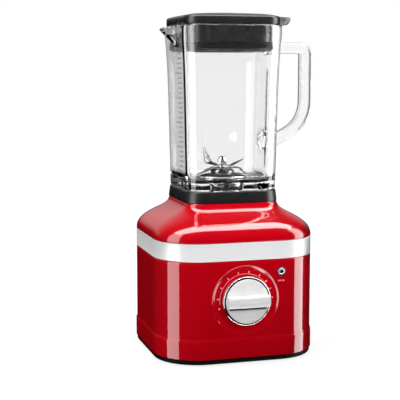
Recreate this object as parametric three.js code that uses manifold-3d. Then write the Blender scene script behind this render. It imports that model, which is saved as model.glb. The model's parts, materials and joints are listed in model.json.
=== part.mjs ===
// Countertop blender: a die-cast base with a motor, a thick glass jar with a blade assembly, and a lid.
// Millimetres, +Z up. The origin is where the motor's axis meets the flat underside of the base plate.
// The control dial faces -Y, the jar's spout points to -X and its handle to +X.

import * as THREE from "three";
import { ConvexGeometry } from "three/addons/geometries/ConvexGeometry.js";
import { mergeVertices } from "three/addons/utils/BufferGeometryUtils.js";
import Module from "manifold-3d";

const wasm = await Module();
wasm.setup();

// ---------------------------------------------------------------- driving dimensions

const GAP = 0.3; // between pieces that touch
const CORNER_STEPS = 5; // facets in a quarter turn of a rounded rectangle
const ROUND = 20; // facets round a small turned piece

const SHELL = { half: 100, corner: 55, wall: 3.5, bottom: 6.3, skirtTop: 29, skirtOut: 1.2 };
const DEPTH_LESS = 2; // the base is this much shallower than wide, on each side
const BAND = { low: 124.5, high: 146.5, thick: 1.3, seam: 1 };
const NECK = { half: 59, corner: 22, top: 188.5 };
const WELL = { radius: 38.5, floor: 163.5, wall: 3.5, hole: 12 };
const FRONT = DEPTH_LESS - SHELL.half; // y of the front wall

const PAD = { low: 188.8, top: 202.7, floor: 192, halfLow: 59.7, halfTop: 58.2, corner: 24 };
const JAR = { foot: 192.3, footHalf: 54, step: 203, floor: 212, top: 404.4, wall: 4.8, bore: 22 };
const HANDLE = { outer: 118.5, bar: 14, width: 20, top: 384.6, arm: 14.2 };
const LID = { rimLow: 404.8, rimTop: 414.8, half: 61, corner: 22, plugLow: 372.3, plugHalf: 54.2 };
const CAP = { radius: 24.5, flange: 31, low: 388, seat: 417, top: 419.6 };

const DIAL = { z: 76.5, recess: 37.3, recessEdge: 42.2, depth: 2.3, bezel: 29.7, knob: 26.8 };
const BUTTON = { x: 45, z: 109.4, radius: 4.3, bezel: 5.6, travel: 1.5 };

const SHAFT = 4; // radius of the motor's shaft and of the blade spindle
const UPPER_TURN = 128; // degrees from the lower pair of blades to the upper pair
const STATOR = { low: 68, high: 116, radius: 44, bore: 25 };
const BEARING = { radius: 11, height: 7 };
const BRACKET = { low: 149, high: 152.4, half: 67, screw: 60 };
const PLATE = { top: 6, half: 100, screwX: 78.5, screwY: 77 };
const FOOT = { x: 66, y: 64, radius: 9.5, low: -2, high: 1.4 };
const INLET = { z: 50, radius: 9 };

// ---------------------------------------------------------------- helpers

const paint = (color, roughness, metalness = 0) =>
  new THREE.MeshStandardMaterial({ color, roughness, metalness });

const looks = {
  enamel: paint(0xb00418, 0.12),
  trim: paint(0xc9cacb, 0.35, 0.9),
  chrome: paint(0xe6e6e6, 0.08, 1),
  silver: paint(0xd2d3d4, 0.3, 0.9),
  black: paint(0x1b1c1e, 0.5),
  rubber: paint(0x161718, 0.65),
  glass: paint(0xe9eeee, 0.05),
  steel: paint(0xb9bcbe, 0.25, 1),
  laminations: paint(0x6d7074, 0.5, 0.8),
  copper: paint(0xb4622e, 0.35, 0.9),
  carbon: paint(0x2a2a2b, 0.8),
  board: paint(0x1f5b38, 0.6),
  natural: paint(0xc8c4b8, 0.55),
};

// A closed geometry as a solid that can be joined and cut.
function solid(geometry) {
  const bare = new THREE.BufferGeometry();
  bare.setAttribute("position", geometry.getAttribute("position"));
  if (geometry.index) bare.setIndex(geometry.index);
  const merged = mergeVertices(bare, 1e-4);
  return new wasm.Manifold(
    new wasm.Mesh({
      numProp: 3,
      vertProperties: merged.attributes.position.array,
      triVerts: new Uint32Array(merged.index.array),
    }),
  );
}

const join = (first, ...others) => others.reduce((made, piece) => made.add(piece), first);
const cut = (first, ...others) => others.reduce((made, piece) => made.subtract(piece), first);

function mesh(name, piece, look) {
  const data = piece.getMesh();
  const geometry = new THREE.BufferGeometry();
  geometry.setAttribute("position", new THREE.BufferAttribute(data.vertProperties, 3));
  geometry.setIndex(new THREE.BufferAttribute(data.triVerts, 1));
  const made = new THREE.Mesh(geometry, looks[look]);
  made.name = name;
  return made;
}

// One ring of a rounded rectangle, counterclockwise from above.
function ring(halfX, halfY, corner, z) {
  const points = [];
  for (let quarter = 0; quarter < 4; quarter++) {
    const sideX = quarter % 3 === 0 ? 1 : -1;
    const sideY = quarter < 2 ? 1 : -1;
    for (let step = 0; step <= CORNER_STEPS; step++) {
      const angle = ((quarter + step / CORNER_STEPS) * Math.PI) / 2;
      const x = sideX * (halfX - corner) + corner * Math.cos(angle);
      const y = sideY * (halfY - corner) + corner * Math.sin(angle);
      points.push(new THREE.Vector3(x, y, z));
    }
  }
  return points;
}

// The closed solid through rings of equal length, from the lowest to the highest.
function loft(rings) {
  const count = rings[0].length;
  const faces = [];
  for (let level = 0; level < rings.length - 1; level++) {
    for (let i = 0; i < count; i++) {
      const a = level * count + i;
      const b = level * count + ((i + 1) % count);
      faces.push(a, b, b + count, a, b + count, a + count);
    }
  }
  const last = (rings.length - 1) * count;
  for (let i = 1; i < count - 1; i++) {
    faces.push(0, i + 1, i, last, last + i, last + i + 1);
  }
  const positions = rings.flat().flatMap((point) => point.toArray());
  const geometry = new THREE.BufferGeometry();
  geometry.setAttribute("position", new THREE.Float32BufferAttribute(positions, 3));
  geometry.setIndex(faces);
  return solid(geometry);
}

const squareLoft = (levels) =>
  loft(levels.map(([half, corner, z]) => ring(half, half, corner, z)));

// Upright and front-to-back cylinders, boxes, turned pieces and straight extrusions.
const upright = (radius, low, high, x = 0, y = 0, facets = ROUND) =>
  solid(
    new THREE.CylinderGeometry(radius, radius, high - low, facets)
      .rotateX(Math.PI / 2)
      .translate(x, y, (low + high) / 2),
  );

const forward = (radius, front, back, x, z, frontRadius = radius, facets = ROUND) =>
  solid(
    new THREE.CylinderGeometry(radius, frontRadius, back - front, facets).translate(
      x,
      (front + back) / 2,
      z,
    ),
  );

const box = (x0, x1, y0, y1, z0, z1) =>
  solid(
    new THREE.BoxGeometry(x1 - x0, y1 - y0, z1 - z0).translate(
      (x0 + x1) / 2,
      (y0 + y1) / 2,
      (z0 + z1) / 2,
    ),
  );

// A profile of [radius, z] pairs, counterclockwise, that closes on itself or on the axis.
function turned(profile, facets = ROUND) {
  const points = profile.map(([radius, z]) => new THREE.Vector2(radius, z));
  if (profile[0][0] > 0) points.push(points[0].clone());
  return solid(new THREE.LatheGeometry(points, facets).rotateX(Math.PI / 2));
}

const tube = (outer, inner, low, high, facets = ROUND) =>
  turned([[inner, low], [outer, low], [outer, high], [inner, high]], facets);

const risen = (shape, low, high, curveSegments = 5) =>
  solid(
    new THREE.ExtrudeGeometry(shape, {
      depth: high - low,
      bevelEnabled: false,
      curveSegments,
    }).translate(0, 0, low),
  );

const around = (piece, degrees) => piece.rotate([0, 0, degrees]);

const fourCorners = (spreadX, spreadY = spreadX) => [
  ["front_left", -spreadX, -spreadY],
  ["front_right", spreadX, -spreadY],
  ["back_left", -spreadX, spreadY],
  ["back_right", spreadX, spreadY],
];

// ---------------------------------------------------------------- base housing

// Half the housing's width against height: upright sides, a full shoulder, then a hollow neck.
function shoulder(steps) {
  const full = new THREE.CubicBezierCurve(
    new THREE.Vector2(SHELL.half, BAND.high + 1.5),
    new THREE.Vector2(SHELL.half, 158),
    new THREE.Vector2(92, 164.5),
    new THREE.Vector2(80, 171),
  );
  const hollow = new THREE.CubicBezierCurve(
    new THREE.Vector2(80, 171),
    new THREE.Vector2(68, 177.5),
    new THREE.Vector2(NECK.half + 0.3, 180.5),
    new THREE.Vector2(NECK.half, NECK.top),
  );
  return [...full.getPoints(steps), ...hollow.getPoints(steps).slice(1)];
}

// The housing's outline where it is that wide, moved inwards by inset.
function shellRing(half, z, inset = 0) {
  const share = (half - NECK.half) / (SHELL.half - NECK.half);
  const corner = NECK.corner + share * (SHELL.corner - NECK.corner);
  const halfY = half - DEPTH_LESS * Math.min(share, 1);
  return ring(half - inset, halfY - inset, corner - inset, z);
}

function housingOutside() {
  const skirt = SHELL.half + SHELL.skirtOut;
  return loft([
    shellRing(skirt, SHELL.bottom),
    shellRing(skirt, SHELL.skirtTop),
    shellRing(SHELL.half, SHELL.skirtTop + 3),
    shellRing(SHELL.half, BAND.low),
    shellRing(SHELL.half, BAND.low + 0.01, BAND.thick),
    shellRing(SHELL.half, BAND.high, BAND.thick),
    shellRing(SHELL.half, BAND.high + 0.01),
    ...shoulder(4).map((point) => shellRing(point.x, point.y)),
  ]);
}

function housingInside() {
  const skirt = SHELL.half + SHELL.skirtOut;
  return loft([
    shellRing(skirt, SHELL.bottom - 1, SHELL.wall),
    shellRing(skirt, SHELL.skirtTop - 2, SHELL.wall),
    shellRing(SHELL.half, SHELL.skirtTop + 3, SHELL.wall),
    ...shoulder(3).map((point) => shellRing(point.x, point.y - SHELL.wall, SHELL.wall)),
  ]);
}

const BOARD_FRONT = FRONT + 16; // y of the control board's front
const BOARD_POSTS = [
  [-33, 57],
  [49, 57],
  [8, 115],
];

function baseHousing() {
  const outside = housingOutside();
  const well = upright(WELL.radius + WELL.wall, WELL.floor - WELL.wall, NECK.top - 1, 0, 0, 32);
  const bracketBosses = bracketCorners.map(([, x, y]) =>
    upright(5.5, BRACKET.high + GAP, 176, x, y, 12).intersect(outside),
  );
  const plateBosses = plateCorners.map(([, x, y]) =>
    upright(6, PLATE.top + GAP, 38, x, y, 12).intersect(outside),
  );
  const boardPosts = BOARD_POSTS.map(([x, z]) =>
    forward(3, FRONT + SHELL.wall / 2, BOARD_FRONT - GAP, x, z, 3, 10),
  );
  return cut(
    join(
      cut(outside, housingInside()),
      well,
      ...bracketBosses,
      ...plateBosses,
      ...boardPosts,
    ),
    upright(WELL.radius, WELL.floor, NECK.top + 5, 0, 0, 32),
    upright(WELL.hole, WELL.floor - 10, WELL.floor + 10),
    ...bracketCorners.map(([, x, y]) => upright(2.2, 140, 169, x, y, 8)),
    ...plateCorners.map(([, x, y]) => upright(2.1, 0, 24, x, y, 8)),
    forward(1.4, BOARD_FRONT - 8, BOARD_FRONT + 1, ...BOARD_POSTS[2], 1.4, 8),
    forward(DIAL.recess, FRONT - 0.01, FRONT + DIAL.depth, 0, DIAL.z, DIAL.recessEdge, 36),
    forward(5.2, FRONT - 5, FRONT + 10, 0, DIAL.z),
    forward(BUTTON.radius + 0.6, FRONT - 5, FRONT + 10, BUTTON.x, BUTTON.z),
    forward(INLET.radius, 80, 110, 0, INLET.z),
  );
}

function trimBand() {
  const low = BAND.low + GAP;
  const high = BAND.high - GAP;
  const outside = loft([shellRing(SHELL.half, low, -0.3), shellRing(SHELL.half, high, -0.3)]);
  const inset = BAND.thick - GAP;
  const inside = loft([
    shellRing(SHELL.half, low - 1, inset),
    shellRing(SHELL.half, high + 1, inset),
  ]);
  const seam = box(-BAND.seam / 2, BAND.seam / 2, 90, 110, low - 1, high + 1);
  return cut(outside, inside, seam);
}

// ---------------------------------------------------------------- underside

const plateCorners = fourCorners(PLATE.screwX, PLATE.screwY);
const bracketCorners = fourCorners(BRACKET.screw);

function basePlate() {
  const plate = loft([
    shellRing(PLATE.half, 0, 1.8),
    shellRing(PLATE.half, 1.6),
    shellRing(PLATE.half, PLATE.top),
  ]);
  const lip = cut(
    loft([shellRing(PLATE.half, PLATE.top - 1, 3), shellRing(PLATE.half, 12, 3)]),
    loft([shellRing(PLATE.half, PLATE.top - 2, 5.2), shellRing(PLATE.half, 14, 5.2)]),
  );
  const clearances = plateCorners.flatMap(([, x, y]) => [
    upright(7, PLATE.top, 20, x, y, 12),
    upright(2.3, -1, 10, x, y, 10),
    upright(4, -1, 2.4, x, y, 12),
  ]);
  const pockets = fourCorners(FOOT.x, FOOT.y).map(([, x, y]) =>
    upright(FOOT.radius + GAP, -1, FOOT.high + GAP, x, y, 16),
  );
  const vents = [];
  for (const y of [-26, -16, 16, 26]) {
    vents.push(box(-26, 26, y - 2, y + 2, -1, PLATE.top + 1));
  }
  return cut(join(plate, lip), ...clearances, ...pockets, ...vents);
}

const foot = () =>
  turned([
    [0, FOOT.low],
    [FOOT.radius - 1, FOOT.low],
    [FOOT.radius, FOOT.low + 1],
    [FOOT.radius, FOOT.high],
    [0, FOOT.high],
  ], 16);

const screw = (headLow, headHigh, tip, head, shank) =>
  join(upright(head, headLow, headHigh, 0, 0, 10), upright(shank, headHigh - 0.2, tip, 0, 0, 8));

// ---------------------------------------------------------------- jar seat

function jarPad() {
  const outside = squareLoft([
    [PAD.halfLow, PAD.corner + 1, PAD.low],
    [PAD.halfLow - 0.4, PAD.corner + 0.6, PAD.low + 5],
    [PAD.halfTop, PAD.corner, PAD.top - 1],
    [PAD.halfTop - 1, PAD.corner - 1, PAD.top],
  ]);
  const hollow = squareLoft([
    [JAR.footHalf + 0.5, 20, PAD.floor],
    [JAR.footHalf + 0.5, 20, PAD.top + 1],
  ]);
  return cut(outside, hollow, upright(WELL.radius + 0.3, PAD.low - 1, PAD.top, 0, 0, 32));
}

const wellSeal = () =>
  turned([
    [SHAFT + 0.6, 157],
    [15.5, 157],
    [15.5, WELL.floor - WELL.wall - GAP],
    [WELL.hole - GAP, WELL.floor - WELL.wall - GAP],
    [WELL.hole - GAP, WELL.floor],
    [SHAFT + 0.6, WELL.floor],
  ]);

// ---------------------------------------------------------------- motor

function sector(inner, outer, from, to) {
  const start = THREE.MathUtils.degToRad(from);
  const end = THREE.MathUtils.degToRad(to);
  const shape = new THREE.Shape();
  shape.absarc(0, 0, outer, start, end, false);
  shape.absarc(0, 0, inner, end, start, true);
  return shape;
}

const BOLT = 39.8; // distance of the motor's two bolts from its axis
const SLOT = { inner: 28, outer: 35.5 }; // where the coils lie in the stator

function statorCore() {
  const { low, high, radius, bore } = STATOR;
  const windows = [0, 180].map((turn) =>
    around(risen(sector(bore + 1.5, SLOT.outer + 0.8, -41, 41), low - 1, high + 1), turn),
  );
  const mouths = [0, 180].map((turn) =>
    around(risen(sector(bore - 2, bore + 3, -24, 24), low - 1, high + 1), turn),
  );
  const bolts = [-BOLT, BOLT].map((y) => upright(2.4, low - 1, high + 1, 0, y, 8));
  const body = upright(radius, low, high, 0, 0, 28);
  const hole = upright(bore, low - 1, high + 1, 0, 0, 28);
  return cut(body, hole, ...windows, ...mouths, ...bolts);
}

// A saddle coil round one pole: two legs through the stator and an end turn above and below it.
function fieldCoil() {
  const { low, high } = STATOR;
  const leg = risen(sector(SLOT.inner, SLOT.outer, 4, 38), low - 2, high + 2, 2);
  const farLeg = risen(sector(SLOT.inner, SLOT.outer, 142, 176), low - 2, high + 2, 2);
  const endTurn = sector(SLOT.inner, SLOT.outer, 4, 176);
  return join(
    leg,
    farLeg,
    risen(endTurn, high + 1, high + 8.5, 8),
    risen(endTurn, low - 8.5, low - 1, 8),
  );
}

function armatureCore() {
  const { low, high, bore } = STATOR;
  const slots = [];
  for (let turn = 0; turn < 360; turn += 30) {
    slots.push(around(box(bore - 6, bore + 2, -1.2, 1.2, low - 1, high + 1), turn));
  }
  return cut(
    upright(bore - 0.6, low, high, 0, 0, 24),
    upright(SHAFT + 0.2, low - 1, high + 1),
    ...slots,
  );
}

function commutator() {
  const slits = [];
  for (let turn = 0; turn < 360; turn += 45) {
    slits.push(around(box(11.5, 15, -0.4, 0.4, 46, 63), turn + 22.5));
  }
  return cut(tube(13, SHAFT + 0.2, 48, 62, 16), ...slits);
}

const motorShaft = () => upright(SHAFT, 34, 176, 0, 0, 20);

function coolingFan() {
  const blades = [];
  for (let turn = 0; turn < 360; turn += 45) {
    blades.push(around(box(9, 38, -0.9, 0.9, 0, 10).rotate([28, 0, 0]), turn));
  }
  const blading = join(...blades).translate([0, 0, 129]).intersect(tube(36, 8, 128, 140, 24));
  return join(tube(12, SHAFT + 0.2, 127.5, 140.5), blading);
}

const fanShroud = () =>
  turned([
    [42.3, STATOR.high + GAP],
    [44.3, STATOR.high + GAP],
    [44.3, BRACKET.low - GAP],
    [42.3, BRACKET.low - GAP],
  ], 28);

const bearing = (low) =>
  turned([
    [SHAFT + 0.15, low],
    [BEARING.radius, low],
    [BEARING.radius, low + BEARING.height],
    [SHAFT + 0.15, low + BEARING.height],
  ]);

const UPPER_BEARING_LOW = 141.6;
const LOWER_BEARING_LOW = 38;

function motorTopBracket() {
  const { low, high, half } = BRACKET;
  const plate = squareLoft([[half, 22, low], [half, 22, high]]);
  const windows = [];
  for (let turn = 45; turn < 360; turn += 90) {
    windows.push(around(risen(sector(20, 40, -30, 30), low - 1, high + 1, 4), turn));
  }
  const screws = fourCorners(BRACKET.screw).map(([, x, y]) =>
    upright(2.3, low - 1, high + 1, x, y, 12),
  );
  const bolts = [-BOLT, BOLT].map((y) => upright(2.4, low - 1, high + 1, 0, y, 8));
  return cut(
    join(plate, upright(15.5, UPPER_BEARING_LOW - 0.5, high)),
    upright(BEARING.radius + 0.2, UPPER_BEARING_LOW - 2, UPPER_BEARING_LOW + BEARING.height + 0.2),
    upright(SHAFT + 3, low - 3, high + 1),
    ...windows,
    ...screws,
    ...bolts,
  );
}

function motorBottomBracket() {
  const bar = box(-10, 10, -45, 45, 40, 45);
  const arms = box(-42, 42, -9, 9, 40, 45);
  const posts = [-BOLT, BOLT].map((y) => upright(3.9, 40, STATOR.low - GAP, 0, y, 12));
  const bolts = [-BOLT, BOLT].map((y) => upright(2.4, 30, 80, 0, y, 8));
  return cut(
    join(bar, arms, upright(15, 36.5, 46), ...posts),
    upright(BEARING.radius + 0.2, LOWER_BEARING_LOW - 0.2, 60),
    upright(SHAFT + 3, 30, 60),
    ...bolts,
  );
}

const motorBolt = () =>
  join(
    upright(4, 36.5, 39.7, 0, 0, 6),
    upright(2, 39.5, BRACKET.high + 4.5, 0, 0, 12),
    upright(4, BRACKET.high + GAP, BRACKET.high + 3.5, 0, 0, 6),
  );

const BRUSH_Z = 54; // the height of the carbon brushes

function brushHolder() {
  const sleeve = box(16, 40, -6.5, 6.5, BRUSH_Z - 5, BRUSH_Z + 5);
  const stem = box(30, 38, -6.5, 6.5, 45 + GAP, BRUSH_Z - 4);
  return cut(join(sleeve, stem), box(10, 50, -4.2, 4.2, BRUSH_Z - 3.2, BRUSH_Z + 3.2));
}

const carbonBrush = () => box(13.3, 32, -4, 4, BRUSH_Z - 3, BRUSH_Z + 3);

// ---------------------------------------------------------------- drive

// A star with soft lobes, for the couplers that turn the blades.
function star(middle, swing, lobes = 6) {
  const points = [];
  const count = lobes * 6;
  for (let i = 0; i < count; i++) {
    const angle = (i / count) * 2 * Math.PI;
    const radius = middle + swing * Math.cos(lobes * angle);
    points.push(new THREE.Vector2(radius * Math.cos(angle), radius * Math.sin(angle)));
  }
  return new THREE.Shape(points);
}

const DRIVE = { low: 165, high: 180, middle: 11, swing: 1.6 };

const driveCoupler = () =>
  cut(
    join(upright(14, 164.2, 166.2), risen(star(DRIVE.middle, DRIVE.swing), DRIVE.low, DRIVE.high)),
    upright(SHAFT + 0.2, 160, 176.5),
  );

const drivenCoupler = () =>
  cut(
    upright(17, 167.4, 187),
    risen(star(DRIVE.middle + 0.6, DRIVE.swing), 160, DRIVE.high + 1.2),
    upright(SHAFT + 0.2, 182.3, 190),
  );

// ---------------------------------------------------------------- blade assembly

const HUB_TOP = 226;

// The steel body that holds the spindle's bearings: a stem through the jar's floor and a dished flange.
const bladeBase = () =>
  turned([
    [18.4, 175],
    [20.5, 175],
    [20.5, 213.4],
    [33, 213.4],
    [33, 214.9],
    [29.5, 216.9],
    [23, 219.8],
    [15.8, 221.4],
    [15, 224.5],
    [13.4, HUB_TOP],
    [SHAFT + 0.3, HUB_TOP],
    [SHAFT + 0.3, 223.6],
    [BEARING.radius + 0.2, 223.6],
    [BEARING.radius + 0.2, 190],
    [18.4, 190],
  ], 24);

const baseGasket = () => tube(32, 21, JAR.floor + 0.2, 213.2, 28);

function retainerNut() {
  const ribs = [];
  for (let turn = 0; turn < 360; turn += 60) {
    ribs.push(around(box(31, 37.4, -2.2, 2.2, 172, 191), turn));
  }
  return join(
    turned([
      [20.8, 172],
      [32.5, 172],
      [33, 186],
      [36, 188],
      [36, JAR.foot - GAP],
      [20.8, JAR.foot - GAP],
    ], 24),
    ...ribs,
  );
}

const bladeSpindle = () => upright(SHAFT, 182.6, 239, 0, 0, 20);

const bladeNut = () =>
  cut(
    join(
      upright(7, 231.4, 236, 0, 0, 6),
      turned([[0, 235.8], [6, 235.8], [5.6, 238.5], [4, 241], [0, 242.2]], 20),
    ),
    upright(SHAFT + 0.15, 225, 239.5),
  );

// A pair of blades stamped from one strip and bent: path is the strip's middle line, [distance, z].
function bladePair(path, rootWidth, tipWidth, level) {
  const thick = 1.6;
  const middle = path.map(([along, z]) => new THREE.Vector2(along, z));
  const upper = middle.map((point) => new THREE.Vector2(point.x, point.y + thick / 2));
  const lower = middle.map((point) => new THREE.Vector2(point.x, point.y - thick / 2));
  const side = new THREE.Shape([...lower, ...upper.reverse()]);
  const strip = solid(
    new THREE.ExtrudeGeometry(side, { depth: 2 * rootWidth, bevelEnabled: false })
      .rotateX(Math.PI / 2)
      .translate(0, rootWidth, 0),
  );
  const first = middle[0].x;
  const last = middle[middle.length - 1].x;
  const plan = new THREE.Shape();
  plan.moveTo(first, tipWidth * 0.6);
  plan.quadraticCurveTo(first * 0.6, -rootWidth, -8, -rootWidth);
  plan.lineTo(8, -rootWidth);
  plan.lineTo(last * 0.9, -tipWidth);
  plan.lineTo(last, -tipWidth * 0.6);
  plan.quadraticCurveTo(last * 0.6, rootWidth, 8, rootWidth);
  plan.lineTo(-8, rootWidth);
  plan.lineTo(first * 0.9, tipWidth);
  return cut(
    strip.intersect(risen(plan, 190, 280)),
    upright(SHAFT + 0.15, level - 5, level + 5, 0, 0, 20),
  );
}

const lowerBlades = () =>
  bladePair([[-37, 217], [-14, 227.4], [-9, 227.6], [9, 227.6], [22, 227.2], [34, 215.6]], 7.5, 3, 227);

const upperBlades = () =>
  bladePair([[-30, 239.5], [-13, 230.6], [-9, 230.2], [9, 230.2], [21, 233], [26, 252.5]], 7, 2.6, 230);

// ---------------------------------------------------------------- glass jar

// Half the jar's outer width at each height.
const JAR_SIDE = [
  [JAR.footHalf, 19.5, JAR.foot],
  [JAR.footHalf, 19.5, JAR.step],
  [56.6, 21.2, JAR.step + 0.6],
  [57.3, 22, 208],
  [59.6, 22, 318],
  [60.5, 22.4, 348],
  [62.2, 23, 376],
  [63, 23.5, 392],
  [63, 23.5, 401],
  [61.8, 22.6, JAR.top],
];

function handle() {
  const { outer, bar, width, top, arm } = HANDLE;
  const inner = outer - bar;
  const shape = new THREE.Shape();
  shape.moveTo(50, top);
  shape.lineTo(outer - 9, top);
  shape.quadraticCurveTo(outer, top, outer, top - 9);
  shape.lineTo(outer, 305);
  shape.bezierCurveTo(outer, 282, 108, 266, 50, 245.5);
  shape.lineTo(50, 265.5);
  shape.bezierCurveTo(88, 271, inner, 286, inner, 312);
  shape.lineTo(inner, top - arm - 7);
  shape.quadraticCurveTo(inner, top - arm, inner - 7, top - arm);
  shape.lineTo(50, top - arm);
  const bevel = 4;
  return solid(
    new THREE.ExtrudeGeometry(shape, {
      depth: width - 2 * bevel,
      bevelThickness: bevel,
      bevelSize: bevel,
      bevelOffset: -bevel,
      bevelSegments: 2,
      curveSegments: 6,
    })
      .rotateX(Math.PI / 2)
      .translate(0, width / 2 - bevel, 0),
  );
}

// The pouring lip's outline shrinks from its top edge to a point on the wall below it.
function spout(inset) {
  const points = [];
  const top = JAR.top - 1 + (inset ? 3 : 0);
  const reach = 80.4 - inset;
  for (const [x, y, z] of [
    [-55, 22 - inset, top],
    [-61, 19 - inset, top],
    [1 - reach, 4.5 - inset / 3, top - 3],
    [-reach, 2.5 - inset / 4, top - 4],
    [1.5 - reach, 2.5 - inset / 4, top - 7 + inset / 2],
    [-55, 12 - inset, 372 + 2 * inset],
    [-62 + inset, 3, 378 + 2 * inset],
  ]) {
    points.push(new THREE.Vector3(x, y, z), new THREE.Vector3(x, -y, z));
  }
  return solid(new ConvexGeometry(points));
}

function glassJar() {
  const outside = squareLoft(JAR_SIDE);
  const wall = JAR.wall;
  const inside = squareLoft([
    [45, 20, JAR.floor],
    [49.5, 20, JAR.floor + 2.5],
    [52.6, 17.5, JAR.floor + 8],
    ...JAR_SIDE.slice(4, -1).map(([half, corner, z]) => [half - wall, corner - wall, z]),
    [JAR_SIDE.at(-2)[0] - wall, JAR_SIDE.at(-2)[1] - wall, JAR.top + 1],
  ]);
  return cut(
    join(outside, handle(), spout(0)),
    inside,
    spout(3.2),
    upright(JAR.bore, JAR.foot - 1, JAR.floor + 1, 0, 0, 28),
  );
}

// ---------------------------------------------------------------- lid

// The thumb tab over the handle: a wedge as thick as the rim that thins towards its rounded end.
function lidTab() {
  const { rimLow, rimTop } = LID;
  const side = new THREE.Shape();
  side.moveTo(50, rimLow + 0.8);
  side.lineTo(74, rimLow + 0.8);
  side.lineTo(83, rimLow + 4.7);
  side.quadraticCurveTo(85.8, rimLow + 7.4, 84, rimTop + 0.6);
  side.lineTo(60, rimTop + 0.4);
  side.lineTo(50, rimTop + 0.4);
  const plan = new THREE.Shape();
  plan.moveTo(50, -26);
  plan.lineTo(62, -24);
  plan.quadraticCurveTo(84, -21, 85.2, 0);
  plan.quadraticCurveTo(84, 21, 62, 24);
  plan.lineTo(50, 26);
  return solid(
    new THREE.ExtrudeGeometry(side, { depth: 60, bevelEnabled: false, curveSegments: 4 })
      .rotateX(Math.PI / 2)
      .translate(0, 30, 0),
  ).intersect(risen(plan, 400, 425));
}

function lidCover() {
  const { half, corner, rimLow, rimTop, plugLow, plugHalf } = LID;
  const rim = squareLoft([
    [half - 1, corner - 1, rimLow],
    [half, corner, rimLow + 1],
    [half, corner, rimTop - 1.5],
    [half - 1.5, corner - 1.5, rimTop],
    [half - 14, corner - 5, rimTop + 3],
    [CAP.flange + 4, 22, CAP.top - 0.9],
  ]);
  const plug = squareLoft([
    [plugHalf - 2, 24, plugLow],
    [plugHalf, 25, plugLow + 2],
    [plugHalf, 25, rimLow + 1],
  ]);
  const hollow = squareLoft([
    [plugHalf - 3.5, 21, plugLow - 1],
    [plugHalf - 3.5, 21, rimLow + 2],
  ]);
  const collar = upright(CAP.radius + 3.3, CAP.low, rimLow + 4);
  const cavity = cut(hollow, collar);
  return cut(
    join(rim, plug, lidTab()),
    cavity,
    upright(CAP.radius + 0.4, plugLow - 5, CAP.top + 5),
    upright(CAP.radius + 8, plugLow - 2, CAP.low),
    upright(CAP.flange + 0.4, CAP.seat - GAP, CAP.top + 5, 0, 0, 28),
  );
}

// A rubber sleeve round the plug, with three ribs that press on the glass.
function lidSeal() {
  const levels = [[LID.plugHalf + 1, 26, 374.6]];
  for (const rib of [376.1, 379.1, 382.1]) {
    levels.push([LID.plugHalf + 2.8, 27, rib], [LID.plugHalf + 1, 26, rib + 1.5]);
  }
  const inner = LID.plugHalf + GAP;
  return cut(squareLoft(levels), squareLoft([[inner, 25.2, 374], [inner, 25.2, 384]]));
}

const ingredientCap = () =>
  turned([
    [CAP.radius - 2.5, CAP.low],
    [CAP.radius, CAP.low],
    [CAP.radius, CAP.seat],
    [CAP.flange, CAP.seat],
    [CAP.flange, CAP.top - 0.9],
    [CAP.flange - 1.2, CAP.top - 0.2],
    [20, CAP.top],
    [0, CAP.top],
    [0, CAP.top - 3],
    [CAP.radius - 2.5, CAP.top - 3],
  ], 28);

// ---------------------------------------------------------------- controls

const DIAL_FLOOR = FRONT + DIAL.depth; // y of the recess's floor

const dialBezel = () =>
  cut(
    forward(DIAL.bezel, DIAL_FLOOR - 9, DIAL_FLOOR - GAP, 0, DIAL.z, DIAL.bezel - 0.4, 32),
    forward(DIAL.knob + 1, DIAL_FLOOR - 10, DIAL_FLOOR + 1, 0, DIAL.z, DIAL.knob + 1, 32),
  );

// A disc with a grip bar across it, hollow behind, with a socket for the shaft.
function controlDial() {
  const face = DIAL_FLOOR - 11;
  const disc = forward(DIAL.knob, face, DIAL_FLOOR - 1.2, 0, DIAL.z, DIAL.knob - 1, 32);
  const barSide = new THREE.Shape();
  barSide.moveTo(-7.4, 0);
  barSide.lineTo(7.4, 0);
  barSide.lineTo(5.8, 8);
  barSide.lineTo(-5.8, 8);
  const bar = solid(
    new THREE.ExtrudeGeometry(barSide, { depth: 2 * DIAL.knob, bevelEnabled: false })
      .rotateX(Math.PI / 2)
      .rotateZ(Math.PI / 2)
      .rotateX(Math.PI / 2)
      .translate(-DIAL.knob, face + 0.5, DIAL.z),
  ).intersect(forward(DIAL.knob - 0.2, face - 12, DIAL_FLOOR, 0, DIAL.z, DIAL.knob - 0.2, 32));
  const hollow = cut(
    forward(DIAL.knob - 3, face + 3, DIAL_FLOOR, 0, DIAL.z),
    forward(6.5, face, DIAL_FLOOR, 0, DIAL.z),
  );
  return cut(join(disc, bar), hollow, forward(3.3, face, DIAL_FLOOR, 0, DIAL.z));
}

const dialShaft = () => forward(3, DIAL_FLOOR - 10.6, FRONT + 14, 0, DIAL.z, 3, 16);

const dialEncoder = () =>
  cut(
    join(
      forward(4.9, FRONT + 2.4, FRONT + 8, 0, DIAL.z),
      box(-13, 13, FRONT + 7, FRONT + 15.5, DIAL.z - 13, DIAL.z + 13),
    ),
    forward(3.3, FRONT, FRONT + 14.4, 0, DIAL.z),
  );

const buttonBezel = () =>
  cut(
    forward(BUTTON.bezel, FRONT - 1.6, FRONT - GAP, BUTTON.x, BUTTON.z, BUTTON.bezel - 0.5),
    forward(BUTTON.radius + 0.3, FRONT - 3, FRONT + 1, BUTTON.x, BUTTON.z),
  );

const startButton = () =>
  join(
    forward(BUTTON.radius, FRONT - 2.8, FRONT + 5, BUTTON.x, BUTTON.z, BUTTON.radius - 0.7),
    forward(BUTTON.radius + 1.7, FRONT + SHELL.wall + 1, FRONT + 6, BUTTON.x, BUTTON.z),
    forward(2, FRONT + 5, FRONT + 8, BUTTON.x, BUTTON.z),
  );

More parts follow.
